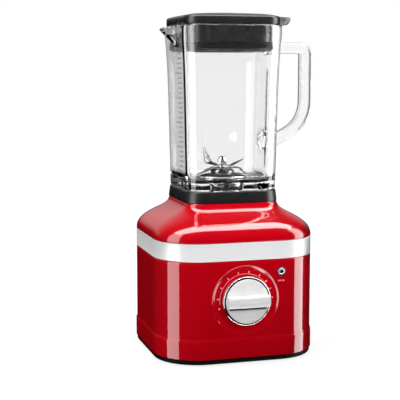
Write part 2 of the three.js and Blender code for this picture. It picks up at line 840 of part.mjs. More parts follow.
const startSwitch = () =>
  box(
    BUTTON.x - 4,
    BUTTON.x + 4,
    FRONT + 8 + BUTTON.travel + 0.5,
    BOARD_FRONT - GAP,
    BUTTON.z - 4,
    BUTTON.z + 4,
  );

const controlBoard = () =>
  cut(
    box(-38, 54, BOARD_FRONT, BOARD_FRONT + 1.6, 52, 120),
    forward(1.6, BOARD_FRONT - 1, BOARD_FRONT + 3, ...BOARD_POSTS[2], 1.6, 8),
  );

const boardScrew = () =>
  join(
    forward(3, BOARD_FRONT + 1.9, BOARD_FRONT + 3.9, ...BOARD_POSTS[2], 3, 10),
    forward(1.2, BOARD_FRONT - 6, BOARD_FRONT + 2.1, ...BOARD_POSTS[2], 1.2, 8),
  );

// A rubber bush in the rear wall, where the mains lead goes in.
function cordInlet() {
  const wall = -FRONT;
  return cut(
    join(
      forward(INLET.radius - GAP, wall - 8, wall + 1, 0, INLET.z),
      forward(INLET.radius + 3, wall + GAP, wall + 3, 0, INLET.z, INLET.radius + 2),
      forward(INLET.radius + 2, wall - 8, wall - SHELL.wall - GAP, 0, INLET.z),
    ),
    forward(3.8, wall - 12, wall + 5, 0, INLET.z),
  );
}

// ---------------------------------------------------------------- assembly

const blender = new THREE.Group();

function put(name, piece, look, turn = 0) {
  const made = mesh(name, piece, look);
  made.rotation.z = THREE.MathUtils.degToRad(turn);
  blender.add(made);
  return made;
}

put("base_housing", baseHousing(), "enamel");
put("trim_band", trimBand(), "trim");
put("base_plate", basePlate(), "black");
put("jar_pad", jarPad(), "rubber");
put("well_seal", wellSeal(), "rubber");

for (const [corner, x, y] of fourCorners(FOOT.x, FOOT.y)) {
  put("foot_" + corner, foot(), "rubber").position.set(x, y, 0);
}
for (const [corner, x, y] of plateCorners) {
  put("base_screw_" + corner, screw(0.4, 2.1, 20, 3.6, 1.8), "steel").position.set(x, y, 0);
}
for (const [corner, x, y] of bracketCorners) {
  put("motor_screw_" + corner, screw(145.6, 148.7, 166, 4, 1.9), "steel").position.set(x, y, 0);
}

put("motor_top_bracket", motorTopBracket(), "laminations");
put("motor_bottom_bracket", motorBottomBracket(), "laminations");
put("stator_core", statorCore(), "laminations");
put("field_coil_back", fieldCoil(), "copper");
put("field_coil_front", fieldCoil(), "copper", 180);
put("fan_shroud", fanShroud(), "black");
put("upper_bearing", bearing(UPPER_BEARING_LOW), "steel");
put("lower_bearing", bearing(LOWER_BEARING_LOW), "steel");
put("motor_bolt_front", motorBolt(), "steel").position.set(0, -BOLT, 0);
put("motor_bolt_back", motorBolt(), "steel").position.set(0, BOLT, 0);
for (const [side, turn] of [["right", 0], ["left", 180]]) {
  put("brush_holder_" + side, brushHolder(), "natural", turn);
  put("carbon_brush_" + side, carbonBrush(), "carbon", turn);
}

put("motor_shaft", motorShaft(), "steel");
put("armature_core", armatureCore(), "laminations");
put("commutator", commutator(), "copper");
put("cooling_fan", coolingFan(), "black");
put("drive_coupler", driveCoupler(), "black");

put("dial_bezel", dialBezel(), "chrome");
put("dial_encoder", dialEncoder(), "natural");
put("control_dial", controlDial(), "silver");
put("dial_shaft", dialShaft(), "steel");
put("button_bezel", buttonBezel(), "chrome");
put("start_button", startButton(), "silver");
put("start_switch", startSwitch(), "black");
put("control_board", controlBoard(), "board");
put("board_screw", boardScrew(), "steel");
put("cord_inlet", cordInlet(), "rubber");

put("glass_jar", glassJar(), "glass");
put("blade_base", bladeBase(), "steel");
put("base_gasket", baseGasket(), "rubber");
put("retainer_nut", retainerNut(), "black");
put("spindle_bearing_upper", bearing(216), "steel");
put("spindle_bearing_lower", bearing(191), "steel");

put("blade_spindle", bladeSpindle(), "steel");
put("lower_blades", lowerBlades(), "steel");
put("upper_blades", upperBlades(), "steel", UPPER_TURN);
put("blade_nut", bladeNut(), "steel");
put("driven_coupler", drivenCoupler(), "black");

put("lid_cover", lidCover(), "black");
put("lid_seal", lidSeal(), "rubber");
put("ingredient_cap", ingredientCap(), "black");

export default blender;
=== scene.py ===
import itertools
import json
import math

import bmesh
import bpy
from mathutils import Matrix, Vector
from mathutils.geometry import interpolate_bezier


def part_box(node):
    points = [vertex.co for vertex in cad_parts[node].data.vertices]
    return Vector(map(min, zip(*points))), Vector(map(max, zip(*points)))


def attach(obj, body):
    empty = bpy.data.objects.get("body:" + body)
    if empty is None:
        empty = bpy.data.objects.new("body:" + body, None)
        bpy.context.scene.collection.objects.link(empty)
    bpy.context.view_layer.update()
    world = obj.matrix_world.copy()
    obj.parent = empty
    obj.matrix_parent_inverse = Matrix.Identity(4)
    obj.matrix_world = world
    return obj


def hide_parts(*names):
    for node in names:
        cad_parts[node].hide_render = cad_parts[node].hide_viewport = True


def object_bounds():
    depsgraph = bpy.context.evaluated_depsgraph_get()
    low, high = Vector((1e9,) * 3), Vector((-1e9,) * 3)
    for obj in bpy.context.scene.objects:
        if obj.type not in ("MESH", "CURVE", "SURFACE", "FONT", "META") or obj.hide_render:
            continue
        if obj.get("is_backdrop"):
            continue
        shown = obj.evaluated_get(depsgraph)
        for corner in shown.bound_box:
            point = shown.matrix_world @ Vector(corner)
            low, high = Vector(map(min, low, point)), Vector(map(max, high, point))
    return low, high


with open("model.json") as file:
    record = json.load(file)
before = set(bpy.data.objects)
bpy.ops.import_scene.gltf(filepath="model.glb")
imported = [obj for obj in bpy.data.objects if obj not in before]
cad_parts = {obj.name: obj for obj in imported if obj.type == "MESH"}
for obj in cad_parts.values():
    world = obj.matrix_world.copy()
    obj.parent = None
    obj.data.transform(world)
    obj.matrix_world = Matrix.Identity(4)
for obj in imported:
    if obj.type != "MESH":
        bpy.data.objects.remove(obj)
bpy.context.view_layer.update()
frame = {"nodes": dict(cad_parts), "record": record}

# ---------------- sizes, in millimetres, from the frame

MM = 0.001
TURN = 2 * math.pi


def size(node):
    low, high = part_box(node)
    return low / MM, high / MM


def middle(node):
    low, high = size(node)
    return (low + high) / 2


SHELL_LOW, SHELL_HIGH = size("base_housing")
BAND_LOW, BAND_HIGH = size("trim_band")
PLATE_HIGH = size("base_plate")[1]
PAD_LOW, PAD_HIGH = size("jar_pad")
JAR_LOW, JAR_HIGH = size("glass_jar")
LID_LOW, LID_HIGH = size("lid_cover")
CAP_LOW, CAP_HIGH = size("ingredient_cap")
CAP_SEAT = CAP_HIGH.z - 2.6  # the underside of the filler cap's flange
RING_LOW, RING_HIGH = size("dial_bezel")
KNOB_LOW, KNOB_HIGH = size("control_dial")
BUTTON_LOW, BUTTON_HIGH = size("button_bezel")
HUB_LOW, HUB_HIGH = size("blade_base")

GAP = 0.3
WALL = 3.5
SKIRT_OUT = 1.2  # how far the housing's foot stands out below the step
SKIRT_TOP = 29
SHELL_HALF = SHELL_HIGH.x - SKIRT_OUT
DEPTH_LESS = SHELL_HIGH.x - SHELL_HIGH.y  # the housing is this much shallower than wide, on each side
SHELL_CORNER = 55
NECK_HALF = PAD_HIGH.x - 0.7
NECK_CORNER = 22
FRONT = DEPTH_LESS - SHELL_HALF
WELL = 38.5  # the radius of the well that the jar's foot stands in
WELL_FLOOR = size("well_seal")[1].z
WELL_HOLE = 12
CORNERS = ("front_left", "front_right", "back_left", "back_right")
VENTS = (-26, -16, 16, 26)  # the slots in the base plate, along Y
VENT_HALF = 26
PAD_CORNER = 25
PAD_OPENING = 54.5

DIAL = middle("dial_bezel")
DIAL_FLOOR = RING_HIGH.y + GAP
DIAL_HOLE = 5.2
RECESS = (38, 42.2)  # the radii of the floor's edge and of the lip of the dial's recess
PATCH_HALF = 43.3  # half the height of the flat square of the front wall that holds the recess
PATCH_ROWS = 24
PATCH_EDGE = 43  # the radius of the first ring inside the square
GRIP_RISE = 7.5  # how far the dial's grip stands out of its disc
SETTINGS = (196, 176, 152, 129, 105, 82, 58, 39, 21, 2)  # degrees round the dial, from +X towards +Z
TICK = (32.9, 35.2, 0.45)  # a setting's inner and outer radius and half its width
OFF_TICK = (33.0, 34.6, 0.8)
ARC = (31.6, 31.9)  # the radii of the line that joins the settings
BUTTON = middle("button_bezel")
BUTTON_HOLE = 4.9
BUTTON_DASHES = (-3.8, -1.8, 0.7, 2.7)
INLET_HOLE = 9

JAR_HALF = JAR_HIGH.y
JAR_CORNER = 23.5
JAR_WALL = 4.8
JAR_BORE = 22
JAR_FLOOR = size("base_gasket")[0].z - 0.2
JAR_STRAIGHT = (208, 57.3, 0.0209)  # where the taper starts, its half width there and its slope
JAR_FLARE = (318, 392, 1.9)  # where the flare starts and ends, and how much wider it is there
RIBS = (-24, -6, 6, 24)  # the upright ribs inside the back wall, along X
SIDE_RIB = -15
HANDLE_TOP = 377.4
HANDLE_ROOT = (57, 257.5)  # the lower root, in X and Z
HANDLE_SECTION = (7.1, 10)
MARK_LOW, MARK_STEP, MARKS = 226, 6, 26  # the graduations' lowest height, their spacing and their number
PLUG = 54.2  # half the width of the lid's plug
SEAL_RIBS = (376.1, 379.1, 382.1)


# ---------------- meshes


def smoothstep(low, high, value):
    t = min(max((value - low) / (high - low), 0.0), 1.0)
    return t * t * (3 - 2 * t)


def lerp(a, b, t):
    return a + (b - a) * t


def soften(outline, radius, steps=3):
    """The closed outline of 2-D points with its corners rounded; a third value is a point's own radius."""
    points = [Vector(p[:2]) for p in outline]
    rounded = []
    for i, corner in enumerate(points):
        before = points[i - 1] - corner
        after = points[(i + 1) % len(points)] - corner
        reach = outline[i][2] if len(outline[i]) > 2 else radius
        reach = min(reach, before.length * 0.48, after.length * 0.48)
        start = corner + before.normalized() * reach
        end = corner + after.normalized() * reach
        if reach < 1e-6:
            rounded.append(corner)
            continue
        for step in range(steps + 1):
            t = step / steps
            rounded.append(start.lerp(corner, t).lerp(corner.lerp(end, t), t))
    return rounded


def ring(half_x, half_y, corner, z, corner_steps=12, side_steps=24):
    """Points round a rounded rectangle, counterclockwise from the middle of +X's upper corner arc."""
    arcs = []
    for quarter in range(4):
        side_x = 1 if quarter in (0, 3) else -1
        side_y = 1 if quarter < 2 else -1
        centre = Vector((side_x * (half_x - corner), side_y * (half_y - corner), z))
        angles = [(quarter + step / corner_steps) * TURN / 4 for step in range(corner_steps + 1)]
        arcs.append([centre + corner * Vector((math.cos(a), math.sin(a), 0)) for a in angles])
    points = []
    for quarter, arc in enumerate(arcs):
        following = arcs[(quarter + 1) % 4][0]
        points += arc
        points += [arc[-1].lerp(following, step / side_steps) for step in range(1, side_steps)]
    return points


def rounded_to_circle(points, radius, z):
    return [Vector((*(Vector((p.x, p.y)).normalized() * radius), z)) for p in points]


def skin(rings, closed=False):
    """The vertices and faces through the rings: closed on itself, or capped at both ends."""
    count = len(rings[0])
    verts = [p for one in rings for p in one]
    faces = []
    for level in range(len(rings) if closed else len(rings) - 1):
        low = level * count
        high = (level + 1) % len(rings) * count
        for i in range(count):
            j = (i + 1) % count
            faces.append((low + i, low + j, high + j, high + i))
    if not closed:
        faces.append(tuple(reversed(range(count))))
        faces.append(tuple(range(len(verts) - count, len(verts))))
    return verts, faces


def lathe(profile, steps=64):
    """The vertices and faces of a profile of (radius, z) turned about Z, a closed outline."""
    rings = []
    for radius, z in profile:
        angles = [TURN * i / steps for i in range(steps)]
        rings.append([Vector((radius * math.cos(a), radius * math.sin(a), z)) for a in angles])
    return skin(rings, closed=True)


def facing_front(parts, x, z, y=0.0):
    """Turns parts made about Z so that their +Z points to the front, and puts them at x, y, z."""
    verts, faces = parts
    return [Vector((v.x + x, y - v.z, v.y + z)) for v in verts], faces


def moved(parts, x=0.0, y=0.0, z=0.0):
    verts, faces = parts
    return [v + Vector((x, y, z)) for v in verts], faces


def joined(*parts):
    verts, faces = [], []
    for more_verts, more_faces in parts:
        start = len(verts)
        verts += more_verts
        faces += [tuple(start + i for i in face) for face in more_faces]
    return verts, faces


def make(name, parts, body, look, replaces=(), sharp=35):
    """A finished piece, from parts in millimetres, with its look's material."""
    verts, faces = parts
    mesh = bpy.data.meshes.new(name)
    mesh.from_pydata([v * MM for v in verts], [], faces)
    tidy_mesh(mesh)
    piece = bpy.data.objects.new(name, mesh)
    bpy.context.scene.collection.objects.link(piece)
    shade(piece, sharp)
    mesh.materials.append(LOOKS[look])
    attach(piece, body)
    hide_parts(*replaces)
    return piece


def tidy_mesh(mesh):
    work = bmesh.new()
    work.from_mesh(mesh)
    bmesh.ops.remove_doubles(work, verts=work.verts, dist=1e-6)
    bmesh.ops.dissolve_degenerate(work, edges=work.edges, dist=1e-6)
    bmesh.ops.recalc_face_normals(work, faces=work.faces)
    work.to_mesh(mesh)
    work.free()


def shade(piece, sharp):
    piece.data.shade_smooth()
    piece.data.set_sharp_from_angle(angle=math.radians(sharp))


def boolean(piece, parts, operation, sharp=35):
    """Joins parts to a piece, or cuts them from it, and keeps the result as its mesh."""
    verts, faces = parts
    mesh = bpy.data.meshes.new("tool")
    mesh.from_pydata([v * MM for v in verts], [], faces)
    tidy_mesh(mesh)
    tool = bpy.data.objects.new("tool", mesh)
    bpy.context.scene.collection.objects.link(tool)
    modifier = piece.modifiers.new("cut", "BOOLEAN")
    modifier.object = tool
    modifier.operation = operation
    modifier.solver = "EXACT"
    bpy.context.view_layer.update()
    made = bpy.data.meshes.new_from_object(piece.evaluated_get(bpy.context.evaluated_depsgraph_get()))
    piece.modifiers.clear()
    piece.data = made
    bpy.data.objects.remove(tool)
    shade(piece, sharp)


def cuboid(low, high):
    verts = [Vector(corner) for corner in itertools.product(*zip(low, high))]
    faces = [(0, 1, 3, 2), (4, 6, 7, 5), (0, 4, 5, 1), (2, 3, 7, 6), (0, 2, 6, 4), (1, 5, 7, 3)]
    return verts, faces


def rod(radius, low, high, x=0.0, y=0.0, steps=32):
    return moved(lathe([(0, low), (radius, low), (radius, high), (0, high)], steps), x, y)


# ---------------- materials


def material(name, color, roughness, metallic=0.0, **sockets):
    """A Principled material. More of its sockets are given by name, with _ for a space."""
    made = bpy.data.materials.new(name)
    made.use_nodes = True
    shader = made.node_tree.nodes["Principled BSDF"]
    shader.inputs["Base Color"].default_value = (*color, 1)
    shader.inputs["Roughness"].default_value = roughness
    shader.inputs["Metallic"].default_value = metallic
    for socket, value in sockets.items():
        shader.inputs[socket.replace("_", " ")].default_value = value
    return made


def noise(made, scale, stretch=(1, 1, 1), detail=3.0):
    """A noise in object space; scale is in features per metre, and stretch squeezes it along each axis."""
    nodes, links = made.node_tree.nodes, made.node_tree.links
    place = nodes.new("ShaderNodeTexCoord")
    mapping = nodes.new("ShaderNodeMapping")
    mapping.inputs["Scale"].default_value = stretch
    texture = nodes.new("ShaderNodeTexNoise")
    texture.inputs["Scale"].default_value = scale
    texture.inputs["Detail"].default_value = detail
    links.new(place.outputs["Object"], mapping.inputs["Vector"])
    links.new(mapping.outputs["Vector"], texture.inputs["Vector"])
    return texture.outputs["Fac"]


def spread(made, source, low, high, socket):
    """Drives a number of the shader from low to high with a noise."""
    nodes, links = made.node_tree.nodes, made.node_tree.links
    ranged = nodes.new("ShaderNodeMapRange")
    ranged.inputs["From Min"].default_value = 0.3
    ranged.inputs["From Max"].default_value = 0.7
    ranged.inputs["To Min"].default_value = low
    ranged.inputs["To Max"].default_value = high
    links.new(source, ranged.inputs["Value"])
    links.new(ranged.outputs["Result"], nodes["Principled BSDF"].inputs[socket])


def tint(made, source, first, second, start=0.3, end=0.7):
    """Drives the base colour from one colour to another as the source goes from start to end."""
    nodes, links = made.node_tree.nodes, made.node_tree.links
    ramp = nodes.new("ShaderNodeValToRGB")
    for element, position, color in zip(ramp.color_ramp.elements, (start, end), (first, second)):
        element.position = position
        element.color = (*color, 1)
    links.new(source, ramp.inputs["Fac"])
    links.new(ramp.outputs["Color"], nodes["Principled BSDF"].inputs["Base Color"])


def bump(made, source, strength, distance, socket="Normal"):
    """Raises the surface by a noise; distance is in millimetres."""
    nodes, links = made.node_tree.nodes, made.node_tree.links
    node = nodes.new("ShaderNodeBump")
    node.inputs["Strength"].default_value = strength
    node.inputs["Distance"].default_value = distance * MM
    links.new(source, node.inputs["Height"])
    links.new(node.outputs["Normal"], nodes["Principled BSDF"].inputs[socket])


def enamel():
    """Red enamel under a clear gloss coat with a faint orange peel."""
    made = material("enamel", (0.46, 0, 0.006), 0.32,
                    Coat_Weight=1.0, Coat_Roughness=0.015, Specular_IOR_Level=0.02)
    tint(made, noise(made, 9), (0.45, 0, 0.005), (0.48, 0.0005, 0.007))
    spread(made, noise(made, 2500, detail=1), 0.26, 0.4, "Roughness")
    bump(made, noise(made, 140, detail=2), 0.025, 0.02, "Coat Normal")
    return made


def brushed(name, color, roughness, stretch, metallic):
    """Metal or paint with fine lines drawn along one axis."""
    made = material(name, color, roughness, metallic, Specular_IOR_Level=0.2)
    lines = noise(made, 60, stretch, 4)
    spread(made, lines, roughness * 0.85, roughness * 1.15, "Roughness")
    tint(made, lines, tuple(c * 0.95 for c in color), color)
    bump(made, lines, 0.06, 0.02)
    return made


def polished(name, color, roughness):
    """Metal with a gloss that varies a little."""
    made = material(name, color, roughness, 1.0)
    spread(made, noise(made, 45), roughness * 0.6, roughness * 1.6, "Roughness")
    bump(made, noise(made, 320, detail=2), 0.04, 0.02)
    return made


def moulded(name, color, roughness, grain, depth, shine=0.5):
    """Moulded plastic or rubber: a fine grain, and patches that shine a little differently."""
    made = material(name, color, roughness, Specular_IOR_Level=shine)
    tint(made, noise(made, 30), color, tuple(c * 1.25 for c in color))
    spread(made, noise(made, 55), roughness * 0.88, roughness * 1.12, "Roughness")
    bump(made, noise(made, grain, detail=2), 0.25, depth)
    return made


def clear_glass():
    """Clear at the middle of a wall, with its tint darkened where the surface turns away: a painted shade
    that draws the dark edges of the glass.
    """
    clear, dark = (0.985, 0.985, 0.985), (0.05, 0.05, 0.05)
    made = material("glass", clear, 0.0, Transmission_Weight=1.0, IOR=1.5)
    facing = made.node_tree.nodes.new("ShaderNodeLayerWeight")
    facing.inputs["Blend"].default_value = 0.5
    # Painted shade: the tint turns dark towards grazing angles.
    tint(made, facing.outputs["Facing"], clear, dark, 0.6, 0.92)
    spread(made, noise(made, 30), 0.0, 0.012, "Roughness")
    bump(made, noise(made, 22, (1, 1, 0.35), 1), 0.06, 0.8)
    return made


def wound_copper():
    made = material("copper", (0.6, 0.25, 0.1), 0.3, 0.9)
    wire = noise(made, 60, (1, 1, 30), 2)
    tint(made, wire, (0.42, 0.15, 0.05), (0.7, 0.32, 0.14))
    bump(made, wire, 0.6, 0.3)
    return made


def laminated():
    made = material("laminations", (0.2, 0.21, 0.23), 0.45, 0.8)
    sheets = noise(made, 30, (0.2, 0.2, 60), 1)
    tint(made, sheets, (0.12, 0.13, 0.14), (0.3, 0.31, 0.33))
    bump(made, sheets, 0.5, 0.2)
    return made


LOOKS = {
    "enamel": enamel(),
    "trim": brushed("trim", (0.82, 0.82, 0.825), 0.34, (1, 1, 60), 0.1),
    "chrome": polished("chrome", (0.9, 0.9, 0.91), 0.05),
    "silver": brushed("silver", (0.9, 0.9, 0.895), 0.28, (1, 1, 60), 0.12),
    "black_plastic": moulded("black_plastic", (0.011, 0.011, 0.0115), 0.28, 900, 0.02, 0.4),
    "matt_black": moulded("matt_black", (0.005, 0.005, 0.005), 0.5, 900, 0.02, 0.03),
    "rubber": moulded("rubber", (0.007, 0.007, 0.0072), 0.36, 700, 0.04, 0.4),
    "silicone": moulded("silicone", (0.62, 0.62, 0.61), 0.4, 500, 0.02, 0.4),
    "glass": clear_glass(),
    "steel": polished("steel", (0.75, 0.76, 0.77), 0.12),
    "casting": moulded("casting", (0.45, 0.45, 0.46), 0.5, 500, 0.1),
    "button_steel": polished("button_steel", (0.42, 0.42, 0.43), 0.25),
    "blade_steel": polished("blade_steel", (0.24, 0.24, 0.245), 0.24),
    "dark_steel": polished("dark_steel", (0.16, 0.16, 0.165), 0.2),
    "laminations": laminated(),
    "copper": wound_copper(),
    "carbon": moulded("carbon", (0.03, 0.03, 0.032), 0.6, 1200, 0.03),
    "board": moulded("board", (0.02, 0.12, 0.05), 0.4, 300, 0.05),
    "natural_plastic": moulded("natural_plastic", (0.6, 0.57, 0.48), 0.4, 800, 0.03),
    "ink": moulded("ink", (0.72, 0.5, 0.5), 0.35, 900, 0.01),
}


# ---------------- base


def shell_ring(half, z, inset=0.0):
    share = (half - NECK_HALF) / (SHELL_HALF - NECK_HALF)
    corner = lerp(NECK_CORNER, SHELL_CORNER, share)
    half_y = half - DEPTH_LESS * min(share, 1)
    return ring(half - inset, half_y - inset, corner - inset, z)


def shoulder(steps):
    """Points (half width, z) from the band up to the neck: a full shoulder, then a hollow."""
    top = SHELL_HIGH.z
    full = [(SHELL_HALF, BAND_HIGH.z + 1.8), (SHELL_HALF, 158), (92, 164.5), (80, 171)]
    hollow = [(80, 171), (68, 177.5), (NECK_HALF + 0.3, 180.5), (NECK_HALF, top)]
    points = []
    for knots in (full, hollow):
        curve = interpolate_bezier(*[Vector((half, z, 0)) for half, z in knots], steps)
        points += curve[1 if points else 0 :]
    return [(p.x, p.y) for p in points]


def recess(radius, angle):
    """How deep the dial's recess is; its wall is steepest on the right and is a long slope below."""
    floor_edge = lerp(30, RECESS[0], smoothstep(-0.95, -0.25, math.sin(angle)))
    floor_edge += 2.3 * smoothstep(0.5, 0.9, math.cos(angle))
    inward = min(max((RECESS[1] - radius) / (RECESS[1] - floor_edge), 0.0), 1.0)
    return (DIAL_FLOOR - FRONT) * (0.86 * inward + 0.14 * smoothstep(0, 0.14, inward))


def patch(verts, faces, square, radii, depth=None):
    """Fills a square hole of the front wall with rings round the dial's axis; returns the last ring."""
    last = square
    for radius in radii:
        fresh = []
        for index in square:
            angle = math.atan2(verts[index].z - DIAL.z, verts[index].x)
            x, z = radius * math.cos(angle), DIAL.z + radius * math.sin(angle)
            inward = depth(radius, angle) if depth else 0.0
            fresh.append(len(verts))
            verts.append(Vector((x, verts[index].y + inward, z)))
        faces += bridge(last, fresh)
        last = fresh
    return last


def bridge(first, second):
    count = len(first)
    return [(first[i], first[(i + 1) % count], second[(i + 1) % count], second[i]) for i in range(count)]


def housing_rings():
    """Rings up the outside, into the well and back down inside, and the first ones of both patches."""
    skirt = SHELL_HALF + SKIRT_OUT
    step_low, step_rise = SKIRT_TOP - 1.5, 4.5
    bottom, top, floor = SHELL_LOW.z, SHELL_HIGH.z, WELL_FLOOR
    edge = ((0.3, 0), (0.05, 0.15), (0, 0.5), (0, 1))
    rings = [shell_ring(skirt, bottom + rise, inset) for inset, rise in edge]
    rings += [shell_ring(skirt, z) for z in (14, 20, step_low)]
    for step in range(1, 7):
        rise = step / 6
        half = skirt - SKIRT_OUT * smoothstep(0, 1, rise)
        rings.append(shell_ring(half, step_low + step_rise * rise))
    outer = len(rings)
    rows = [DIAL.z + PATCH_HALF * (2 * i / PATCH_ROWS - 1) for i in range(PATCH_ROWS + 1)]
    rings += [shell_ring(SHELL_HALF, z) for z in rows]
    band = BAND_HIGH.z - BAND_LOW.z
    groove = ((0, -0.7), (0.3, -0.35), (1.3, -GAP), (1.3, band + GAP), (0.3, band + 0.35), (0, band + 0.7))
    rings += [shell_ring(SHELL_HALF, BAND_LOW.z + rise, inset) for inset, rise in groove]
    rings += [shell_ring(half, z) for half, z in shoulder(18)[:-1]]
    rings += [shell_ring(NECK_HALF, top - drop, inset) for inset, drop in ((0, 1), (0.3, 0.3), (1, 0))]
    neck = shell_ring(NECK_HALF, top)
    well = [(WELL + 1.5, top), (WELL + 0.4, top - 0.4), (WELL, top - 1.5), (WELL, floor + 2)]
    well += [(WELL - 2, floor), (WELL_HOLE, floor), (WELL_HOLE, floor - WALL)]
    well += [(WELL + WALL, floor - WALL), (WELL + WALL, top - WALL)]
    rings += [rounded_to_circle(neck, radius, z) for radius, z in well]
    rings += [shell_ring(half, z - WALL, WALL) for half, z in reversed(shoulder(6))]
    inner = len(rings)
    rings += [shell_ring(SHELL_HALF, z, WALL) for z in reversed(rows)]
    rings += [shell_ring(skirt, SKIRT_TOP - 3, WALL), shell_ring(skirt, bottom, WALL)]
    return rings, outer, inner


def housing():
    """The housing: a shell through its rings, with the dial's recess let into its front wall."""
    rings, outer, inner = housing_rings()
    verts, faces = skin(rings, closed=True)
    count = len(rings[0])
    flat = SHELL_HALF - SHELL_CORNER + 0.01
    across = [i for i, p in enumerate(rings[outer]) if abs(p.x) < flat and p.y < FRONT + 0.01]
    left, right = across[0], across[-1]
    holes = set()
    for start in (outer, inner):
        for row in range(PATCH_ROWS):
            for column in range(left, right):
                low = (start + row) * count
                holes.add((low + column, low + column + 1, low + count + column + 1, low + count + column))
    faces = [face for face in faces if face not in holes]
    squares = []
    for low, high in ((outer, outer + PATCH_ROWS), (inner + PATCH_ROWS, inner)):
        step = 1 if high > low else -1
        square = [low * count + i for i in range(left, right)]
        square += [level * count + right for level in range(low, high, step)]
        square += [high * count + i for i in range(right, left, -1)]
        square += [level * count + left for level in range(high, low, -step)]
        squares.append(square)
    wall = [RECESS[1] + 0.2 - 0.3 * i for i in range(19)]
    radii = [PATCH_EDGE, *wall, 36.5, 34, 31, 27, 20, 12, DIAL_HOLE]
    front = patch(verts, faces, squares[0], radii, recess)
    back = patch(verts, faces, squares[1], [PATCH_EDGE, 20, DIAL_HOLE])
    faces += bridge(front, back)
    piece = make("housing", (verts, faces), "base", "enamel", ["base_housing"], sharp=50)
    button = facing_front(rod(BUTTON_HOLE, -20, 20), BUTTON.x, BUTTON.z, FRONT)
    inlet = facing_front(rod(INLET_HOLE, -20, 20), 0, middle("cord_inlet").z, -FRONT)
    boolean(piece, joined(button, inlet), "DIFFERENCE", 50)


def hoop(outline, profile):
    """A closed ring of one section; profile is a closed outline of (inset, z)."""
    return skin([outline(inset, z) for inset, z in profile], closed=True)


def trim_band():
    """A plain band with a raised edge along its top and its bottom."""
    low, high = BAND_LOW.z, BAND_HIGH.z
    lower = [(1.0, low, 0.2), (-0.3, low, 0.6), (-0.3, low + 1.5, 0.1), (-0.05, low + 1.8, 0.3)]
    upper = [(-0.05, high - 1.0, 0.3), (-0.3, high - 0.7, 0.2), (-0.3, high, 0.5), (1.0, high, 0.2)]
    profile = soften(lower + upper, 0.3)
    parts = hoop(lambda inset, z: shell_ring(SHELL_HALF, z, inset), profile)
    make("band", parts, "base", "trim", ["trim_band"])


def base_plate():
    """The floor of the base, with its vents and the holes of its feet and screws."""
    top = PLATE_HIGH.z / 2
    profile = [(2.2, 0), (0.9, 0.25), (0.25, 0.9), (0, 2.2), (0, top - 0.4), (0.4, top)]
    rings = [shell_ring(PLATE_HIGH.x, z, inset) for inset, z in profile]
    piece = make("plate", skin(rings), "base", "matt_black", ["base_plate"])
    cutters = [cuboid((-VENT_HALF, y - 2, -5), (VENT_HALF, y + 2, 12)) for y in VENTS]
    for corner in CORNERS:
        foot = middle("foot_" + corner)
        cutters.append(rod(9.8, -5, size("foot_" + corner)[1].z + GAP, foot.x, foot.y))
        screw = middle("base_screw_" + corner)
        cutters.append(rod(4, -5, 2.4, screw.x, screw.y))
        cutters.append(rod(2.3, 0, 12, screw.x, screw.y))
    boolean(piece, joined(*cutters), "DIFFERENCE")


def feet():
    for corner in CORNERS:
        node = "foot_" + corner
        low, high = size(node)
        radius = (high.x - low.x) / 2
        profile = [(0, low.z, 0), (radius - 0.4, low.z, 1), (radius, high.z, 0.4), (0, high.z, 0)]
        parts = moved(lathe(soften(profile, 0.5)), middle(node).x, middle(node).y)
        make("rubber_" + node, parts, "base", "rubber", [node])


def jar_pad():
    """The black collar that the jar stands in: a square rim, and a floor with a hole over the well."""
    low, high = PAD_LOW.z, PAD_HIGH.z
    half = PAD_HIGH.x
    inner = half - PAD_OPENING
    hole = half - WELL - GAP
    floor = low + 3.2
    profile = soften([(0.2, low, 0.5), (0, low + 2, 2), (1.7, high, 1.1), (inner, high, 0.6),
                      (inner, floor, 1.5), (hole, floor, 0.5), (hole, low, 0.5)], 0.6)

    def outline(inset, z):
        square_inset = min(inset, inner)
        square = ring(half - square_inset, half - square_inset, PAD_CORNER - square_inset, z)
        return square if inset <= inner else rounded_to_circle(square, half - inset, z)

    make("collar", hoop(outline, profile), "base", "rubber", ["jar_pad"])


# ---------------- controls


def dial_bezel():
    """A thin bright ring round the dial, with a black liner inside it."""
    outer = RING_HIGH.x
    inner = outer - 1.0
    depth = RING_HIGH.y - RING_LOW.y
    profile = [(inner, 0, 0.2), (outer, 0, 0.3), (outer - 0.2, depth - 0.4, 0.6), (inner, depth, 0.5)]
    profile = soften(profile, 0.5, 5)
    parts = facing_front(lathe(profile, 128), DIAL.x, DIAL.z, RING_HIGH.y)
    make("bezel_ring", parts, "base", "chrome", ["dial_bezel"])
    low, high = outer - 1.9, inner - 0.1
    profile = soften([(low, 0), (high, 0), (high, depth - 1), (low, depth - 1.4)], 0.2)
    parts = facing_front(lathe(profile, 128), DIAL.x, DIAL.z, RING_HIGH.y)
    make("bezel_liner", parts, "base", "matt_black", ["dial_bezel"])


def grip_rings(radius, face):
    """Sections across the dial's grip, closer together towards its two ends."""
    section = soften([(-7.2, -1), (7.2, -1), (6.6, 6.6, 1.2), (3, GRIP_RISE, 4), (-3, GRIP_RISE, 4),
                      (-6.6, 6.6, 1.0)], 0.5, 6)
    rings = []
    for step in range(25):
        along = 2 * step / 24 - 1
        along = math.copysign(1 - (1 - abs(along)) ** 1.6, along)
        rounding = 1 - 0.06 * abs(along) ** 8
        one = []
        for across, out in section:
            reach = math.sqrt((radius - 0.3) ** 2 - across**2)
            one.append(Vector((reach * along, KNOB_HIGH.y - face - out * rounding, DIAL.z + across)))
        rings.append(one)
    return rings


